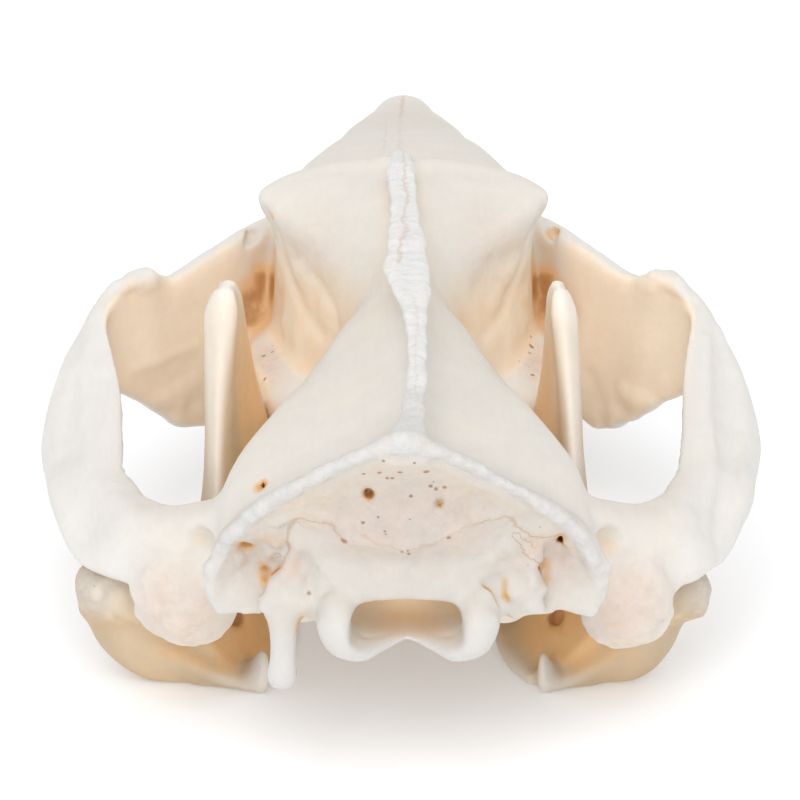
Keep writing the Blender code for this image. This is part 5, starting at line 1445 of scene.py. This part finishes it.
# Each row: size in mm, detail, distortion.
WAVES = {"patches": (9.0, 3.0, 0.0), "mottle": (2.6, 3.0, 0.0), "streaks": (1.5, 4.0, 0.7),
         "pebbles": (0.9, 3.0, 0.0), "grit": (0.35, 2.0, 0.0)}


def patterns(tree, place):
    """Noise of several real sizes, each about 0.2 to 0.8 with a middle of 0.5."""
    fibre_scale = tuple(1 / (size * MM) for size in FIBRE_SIZE)
    stretched = add(tree, "Mapping", {"Vector": place, "Scale": fibre_scale})
    found = {"fibres": add(tree, "TexNoise", {"Vector": stretched, "Scale": 1.0, "Detail": 3.0}, "Fac")}
    for name, (size, detail, distortion) in WAVES.items():
        found[name] = add(tree, "TexNoise", {"Vector": place, "Scale": 1 / (size * MM),
                                             "Detail": detail, "Distortion": distortion}, "Fac")
    return found


print("fibres per mm across the skull:", 1 / FIBRE_SIZE[0])

# %% [markdown]
# ## The colours of dry bone
#
# Bone could be one colour with one noise, but it is the layers that make it look old. They are laid
# over each other: ivory, a pink flush of dried tissue, cream on sheltered faces that is partly
# painted light and shade, an orange-brown stain in recesses that is partly painted shade, a deeper
# one in their middle, and white on worn edges and rims, with a painted highlight on thin edges.

# %% Colour layers


def colour_layers(tree, value, pattern, paint):
    """Blend after blend, each by a point value that a pattern makes uneven."""
    uneven = add(tree, "MapRange", {0: pattern["mottle"], 1: 0.25, 2: 0.7, 3: 0.6, 4: 1.1}, **SOFT)
    flushed = add(tree, "Math", {0: value["flush"], 1: uneven}, operation="MULTIPLY")
    tone = add(tree, "Math", {0: pattern["patches"], 1: 0.7, 2: -0.28}, operation="MULTIPLY_ADD")
    warm = add(tree, "Math", {0: value["warm"], 1: tone}, operation="ADD")
    creamy = add(tree, "MapRange", {0: warm, 1: 0.0, 2: 1.1}, **SOFT)
    blotchy = add(tree, "MapRange", {0: pattern["mottle"], 1: 0.2, 2: 0.7, 3: 0.75, 4: 1.15}, **SOFT)
    brown = add(tree, "Math", {0: value["stain_and_shade"], 1: blotchy}, operation="MULTIPLY")
    # Painted shade in recesses, together with the stain zones, which hold painted shade too, decides the
    # brown layers.
    dark = add(tree, "Math", {0: value["hollow"], 1: brown}, operation="MAXIMUM")
    stained_and_shaded = add(tree, "MapRange", {0: dark, 1: 0.15, 2: 0.75}, **SOFT)
    # The deepest recesses get the deep colour: painted shade together with stain.
    deeply_stained_and_shaded = add(tree, "MapRange", {0: dark, 1: 0.7, 2: 1.0}, **SOFT)
    # White on thin edges, partly wear and partly a painted highlight, and on the rims.
    worn_and_highlighted = add(tree, "Math", {0: value["edge"], 1: 0.75}, operation="MULTIPLY")
    pale = add(tree, "Math", {0: worn_and_highlighted, 1: value["rim"]}, operation="MAXIMUM")
    colour = paint["ivory"]
    for share, layer in ((flushed, "flush"), (creamy, "cream"), (stained_and_shaded, "stain_and_shade"), (deeply_stained_and_shaded, "deep"),
                         (pale, "white")):
        colour = add(tree, "Mix", {0: share, 6: colour, 7: paint[layer]}, **COLOURS)
    return colour


def shading(tree, value, pattern):
    """A factor near 1: fibres and mottle vary it, streaks darken flushed bone, and a value of painted
    light and shade lightens or darkens whole regions."""
    fibrous = add(tree, "MapRange", {0: pattern["fibres"], 1: 0.3, 2: 0.7, 3: 0.985, 4: 1.005}, **SOFT)
    mottled = add(tree, "MapRange", {0: pattern["mottle"], 1: 0.3, 2: 0.7, 3: -0.02, 4: 0.01}, **SOFT)
    shade = add(tree, "Math", {0: fibrous, 1: mottled}, operation="ADD")
    streaked = add(tree, "MapRange", {0: pattern["streaks"], 1: 0.3, 2: 0.75, 3: 0.0, 4: -0.09}, **SOFT)
    shade = add(tree, "Math", {0: value["flush"], 1: streaked, 2: shade}, operation="MULTIPLY_ADD")
    return add(tree, "Math", {0: value["painted_light_and_shade"], 1: 0.12, 2: shade}, operation="MULTIPLY_ADD")


print("layers: ivory, flush, cream, stain, deep, white")

# %% [markdown]
# ## Seams, pores and small pits
#
# Dark marks are also dents. A seam is drawn where the stored distance passes zero, with a wobble
# that makes it zigzag. Pores and pits are only shallow dents, so their dark fill is painted shade
# for the depth of each hole. Vessel pores come from a pattern of cells 1.1 mm apart: each cell's
# random colour gives it a radius of its own, and most stay too small to show. The larger pits of
# the rear plate can be counted on the real skull, so they are given one by one, in millimetres.

# %% Marks
# Each row: (x, y, z, radius).
PLATE_PITS = (
    (-0.4, 1.1, 35.4, 0.30), (2.0, 1.3, 35.4, 0.36), (-3.7, 1.7, 35.0, 0.2), (-2.3, 1.6, 35.1, 0.28),
    (-1.6, 2.1, 34.4, 0.22), (-1.1, 2.0, 34.4, 0.2), (2.4, 2.5, 33.4, 0.25), (2.9, 2.6, 33.0, 0.28),
    (3.7, 2.7, 33.1, 0.28), (0.6, 2.5, 32.3, 0.24), (-3.8, 3.4, 29.2, 0.24), (-2.4, 3.1, 30.0, 0.16),
    (-1.8, 3.3, 28.5, 0.18), (-5.6, 4.3, 27.1, 0.42), (4.1, 3.7, 27.7, 0.3), (-0.2, 3.3, 26.5, 0.26),
    (0.4, 3.3, 26.2, 0.24), (-8.9, 5.2, 20.9, 0.32), (-20.3, 16.6, 20.7, 0.2), (19.9, 16.2, 21.2, 0.25),
    (-11.6, 74.9, 27.3, 0.25), (0.9, -0.9, 37.2, 0.18), (-1.9, -0.8, 37.4, 0.2))
DEPTH_SHARE = 0.3             # how much depth along Y counts in the distance from a pit
PORE_SPACING = 1.1            # mm
FAR_AWAY = 1e4                # more radii than any pit is away


def seam_mark(tree, value, pattern):
    """1 where |distance + wobble| is near zero, faded out at 0.4 mm, times how open the seam is."""
    coarse = add(tree, "Math", {0: pattern["pebbles"], 1: 1.1, 2: -0.55}, operation="MULTIPLY_ADD")
    fine = add(tree, "Math", {0: pattern["grit"], 1: 0.3, 2: -0.15}, operation="MULTIPLY_ADD")
    wobble = add(tree, "Math", {0: coarse, 1: fine}, operation="ADD")
    signed = add(tree, "Math", {0: value["seam"], 1: wobble}, operation="ADD")
    apart = add(tree, "Math", {0: signed}, operation="ABSOLUTE")
    drawn = add(tree, "MapRange", {0: apart, 1: 0.02, 2: 0.4, 3: 1.0, 4: 0.0}, **SOFT)
    return add(tree, "Math", {0: drawn, 1: value["seam_open"]}, operation="MULTIPLY")


def pore_mark(tree, value, place):
    """1 where a cell's distance is below 0.3 * chance^2 * porous, chance being the cell's own."""
    from_middle = add(tree, "TexVoronoi", {"Vector": place, "Scale": 1 / (PORE_SPACING * MM)}, "Distance")
    chance = add(tree, "SeparateColor", {"Color": from_middle.node.outputs["Color"]})
    squared = add(tree, "Math", {0: chance, 1: chance}, operation="MULTIPLY")
    radius = add(tree, "Math", {0: squared, 1: 0.3}, operation="MULTIPLY")
    reach = add(tree, "Math", {0: radius, 1: value["porous"]}, operation="MULTIPLY")
    inside = add(tree, "Math", {0: reach, 1: from_middle}, operation="SUBTRACT")
    return add(tree, "MapRange", {0: inside, 1: -0.04, 2: 0.05}, **SOFT)


def pit_mark(tree, pattern, place, pits):
    """1 where the distance from the nearest pit, counted in its radii, is below about 1."""
    flat = add(tree, "VectorMath", {0: place, 1: (1, DEPTH_SHARE, 1)}, operation="MULTIPLY")
    nearest = FAR_AWAY
    for x, y, z, r in pits:
        centre_at = to_row([x, y, z]) * [1, DEPTH_SHARE, 1]
        far = add(tree, "VectorMath", {0: flat, 1: centre_at}, "Value", operation="DISTANCE")
        ratio = add(tree, "Math", {0: far, 1: 1 / (r * MM)}, operation="MULTIPLY")
        nearest = add(tree, "Math", {0: nearest, 1: ratio}, operation="MINIMUM")
    grit = add(tree, "Math", {0: pattern["grit"], 1: 0.8, 2: -0.4}, operation="MULTIPLY_ADD")
    uneven = add(tree, "Math", {0: nearest, 1: grit}, operation="ADD")
    return add(tree, "MapRange", {0: uneven, 1: 0.35, 2: 1.05, 3: 1.0, 4: 0.0}, **SOFT)


print(len(PLATE_PITS), "pits are given by place")

# %% [markdown]
# ## One recipe for dry bone
#
# The recipe joins the layers, the marks and the dents. Boiling and the sun leave a rough open skin,
# so the roughness is 0.55 and the sheen is weak. A little light goes in and comes out again a
# millimetre away, redder than it went in. The same recipe with two sets of colours gives the pale
# cranium and the browner jaws, so that a change of the recipe reaches all the bone at once.

# %% Dry bone
MARK_STRENGTH = 0.8           # share of the dark colour in a mark
# Painted shade: the stain and deep colours also stand for shade in recesses, and the pit colour for the
# shade inside pits and pores.
SKULL_PAINT = {"ivory": "#DBD6CE", "flush": "#D8C7BB", "cream": "#EEDCC3", "stain_and_shade": "#E4BC8E",
               "deep": "#BF8C56", "white": "#DEDDDB", "pit_and_pore_shade": "#A67246"}
JAW_PAINT = {"ivory": "#D2C1AA", "flush": "#D8C6B4", "cream": "#DABC92", "stain_and_shade": "#EBC08C",
             "deep": "#ECBA80", "white": "#E4E1DB", "pit_and_pore_shade": "#8F5A34"}
BONE_FINISH = {"Roughness": 0.55, "Specular IOR Level": 0.35, "Subsurface Weight": 0.2,
               "Subsurface Radius": (1.0, 0.6, 0.35), "Subsurface Scale": 0.0015}


def dents(tree, value, pattern, mark):
    """Height of the skin in mm: grit 0.02, fibres 0.015, mottle 0.08, pebbles 0.03 and 0.25 more on
    a rim and 0.16 more where flushed, and -0.06 in a mark."""
    pebbly = add(tree, "Math", {0: value["rim"], 1: 0.25, 2: 0.03}, operation="MULTIPLY_ADD")
    grainy = add(tree, "Math", {0: pattern["pebbles"], 1: value["flush"]}, operation="MULTIPLY")
    height = add(tree, "Math", {0: pattern["grit"], 1: 0.02}, operation="MULTIPLY")
    for source, amount in ((pattern["fibres"], 0.015), (pattern["mottle"], 0.08),
                           (pattern["pebbles"], pebbly), (grainy, 0.16), (mark, -0.06)):
        height = add(tree, "Math", {0: source, 1: amount, 2: height}, operation="MULTIPLY_ADD")
    return height


def dry_bone(name, hexes, pits):
    """Layers of colour by point values, then seams and marks over them, then shade and dents."""
    mat, tree, shader = new_material(name)
    paint = {key: linear(colour) for key, colour in hexes.items()}
    place = add(tree, "TexCoord", {}, "Object")
    value = {key: add(tree, "Attribute", {}, "Fac", attribute_name=key) for key in VALUE_NAMES}
    pattern = patterns(tree, place)
    colour = colour_layers(tree, value, pattern, paint)
    seam = seam_mark(tree, value, pattern)
    mark = pore_mark(tree, value, place)
    if pits:
        pit = pit_mark(tree, pattern, place, pits)
        mark = add(tree, "Math", {0: mark, 1: pit}, operation="MAXIMUM")
    # Seams get the deep colour; pits and pores get painted shade for the depth of the hole.
    for share, dark in ((seam, "deep"), (mark, "pit_and_pore_shade")):
        strength = add(tree, "Math", {0: share, 1: MARK_STRENGTH}, operation="MULTIPLY")
        colour = add(tree, "Mix", {0: strength, 6: colour, 7: paint[dark]}, **COLOURS)
    shade = shading(tree, value, pattern)
    lit = add(tree, "VectorMath", {0: colour, "Scale": shade}, operation="SCALE")
    dented = add(tree, "Math", {0: seam, 1: mark}, operation="MAXIMUM")
    height = dents(tree, value, pattern, dented)
    bump = add(tree, "Bump", {"Strength": 1.0, "Distance": MM, "Height": height})
    tree.links.new(lit, shader.inputs["Base Color"])
    tree.links.new(bump, shader.inputs["Normal"])
    for socket, amount in BONE_FINISH.items():
        shader.inputs[socket].default_value = amount
    return mat


skull_bone = dry_bone("dry_ivory_bone", SKULL_PAINT, PLATE_PITS)
jaw_bone = dry_bone("dry_stained_bone", JAW_PAINT, ())
cranium_piece.data.materials.append(skull_bone)
for piece in jaw_pieces:
    piece.data.materials.append(jaw_bone)
print("bone materials:", skull_bone.name, jaw_bone.name)

# %% [markdown]
# ## Tooth enamel
#
# Enamel is the hardest part of the animal: glassy, cream-coloured mineral, grown as a smooth cap and
# polished by use, so it shines where the bone stays dull. It is paler toward the tip, and a brown
# line stays where it meets the root. One blend by the distance from the gum gives both.

# %% Tooth enamel


def tooth_enamel():
    """Brown at the gum line, cream on the crown, smooth, with the IOR of enamel."""
    mat, tree, shader = new_material("tooth_enamel_cream")
    crown = add(tree, "Attribute", {}, "Fac", attribute_name="crown")
    colour = add(tree, "Mix", {0: crown, 6: linear("#B98A55"), 7: linear("#EFE3C8")}, **COLOURS)
    tree.links.new(colour, shader.inputs["Base Color"])
    shader.inputs["Roughness"].default_value = 0.25
    shader.inputs["IOR"].default_value = 1.62
    return mat


enamel = tooth_enamel()
for piece in teeth:
    piece.data.materials.append(enamel)
print("enamel on", len(teeth), "teeth")

# %% [markdown]
# ## The table
#
# The skull stands on a pale seamless surface, such as matte white card. It is one large square, and
# a trace of its own light keeps it from going grey where the lamps don't reach.

# %% Floor
FLOOR_GLOW = 0.2
floor_mesh = bpy.data.meshes.new("floor")
floor_mesh.from_pydata([(-3, -3, 0), (3, -3, 0), (3, 3, 0), (-3, 3, 0)], [], [(0, 1, 2, 3)])
floor = bpy.data.objects.new("floor", floor_mesh)
bpy.context.scene.collection.objects.link(floor)
floor_mat, floor_tree, floor_shader = new_material("pale_floor")
floor_shader.inputs["Base Color"].default_value = linear("#ECEEF1")
floor_shader.inputs["Roughness"].default_value = 0.9
floor_shader.inputs["Emission Color"].default_value = (1.0, 1.0, 1.0, 1.0)
floor_shader.inputs["Emission Strength"].default_value = FLOOR_GLOW
floor_mesh.materials.append(floor_mat)
print("floor at z =", floor_mesh.vertices[0].co.z)

# %% [markdown]
# ## Light
#
# The studio is soft and bright. White surroundings fill the shadows, a wide soft light hangs above
# and behind the camera, and a weaker one, lower down, keeps the rear plate readable. One bright
# lamp would give hard shadows that the real scene doesn't have. Inside the brain case a very weak
# warm light stands for the glow that seeps through thin bone.

# %% Light
WORLD_STRENGTH = 0.84
WARM_GLOW = (1.0, 0.74, 0.48)
GLOW_WATTS = 0.0008
GLOW_PLACE = (0.2, 15.0, 21.5)
LIGHT_AIM = (0, 0, 0.02)
scene = bpy.context.scene
world = bpy.data.worlds.new("studio")
scene.world = world
world.use_nodes = True
background = world.node_tree.nodes["Background"]
background.inputs["Color"].default_value = (1.0, 1.0, 1.0, 1.0)
background.inputs["Strength"].default_value = WORLD_STRENGTH
scene.view_settings.view_transform = "Standard"


def soft_light(name, place, aim, size, watts):
    """A square area light at a place, turned to face a point."""
    data = bpy.data.lights.new(name, "AREA")
    data.size = size
    data.energy = watts
    lamp = bpy.data.objects.new(name, data)
    scene.collection.objects.link(lamp)
    lamp.location = place
    back = np.array(place, float) - np.array(aim, float)
    lamp.rotation_euler = (math.acos(back[2] / np.linalg.norm(back)), 0, math.atan2(back[0], -back[1]))
    return lamp


overhead = soft_light("overhead", (-0.08, -0.62, 0.82), LIGHT_AIM, 0.55, 3.5)
front = soft_light("front", (0.0, -0.8, 0.35), LIGHT_AIM, 0.6, 1.0)
seep_data = bpy.data.lights.new("seeping_light", "POINT")
seep_data.energy = GLOW_WATTS
seep_data.color = WARM_GLOW
seep_data.shadow_soft_size = 0.002
seep = bpy.data.objects.new("seeping_light", seep_data)
scene.collection.objects.link(seep)
seep.location = to_row(GLOW_PLACE)
print("lights:", overhead.data.energy, front.data.energy, "W and", seep_data.energy, "W")

# %% [markdown]
# ## Camera
#
# The camera looks from behind and above through a long lens, which keeps the near plate and the far
# snout close to their true proportions. It aims at a point inside the skull. The length of the lens
# is worked out from how many pixels wide a millimetre looks at that distance.

# %% Camera
DISTANCE_MM = 400
ELEVATION = math.radians(23.5)
AIM = np.array([-0.4, 45.0, 23.5])
SENSOR_MM = 36
FOCAL_PIXELS = 3900
PICTURE_PIXELS = 800
camera_data = bpy.data.cameras.new("camera")
camera_data.lens = FOCAL_PIXELS / PICTURE_PIXELS * SENSOR_MM
camera_data.sensor_width = SENSOR_MM
camera = bpy.data.objects.new("camera", camera_data)
scene.collection.objects.link(camera)
camera.location = to_row(AIM + DISTANCE_MM * np.array([0, -math.cos(ELEVATION), math.sin(ELEVATION)]))
camera.rotation_euler = (math.pi / 2 - ELEVATION, 0, 0)
camera_data.clip_start = 0.01
scene.camera = camera
print("camera at", [round(v, 4) for v in camera.location])
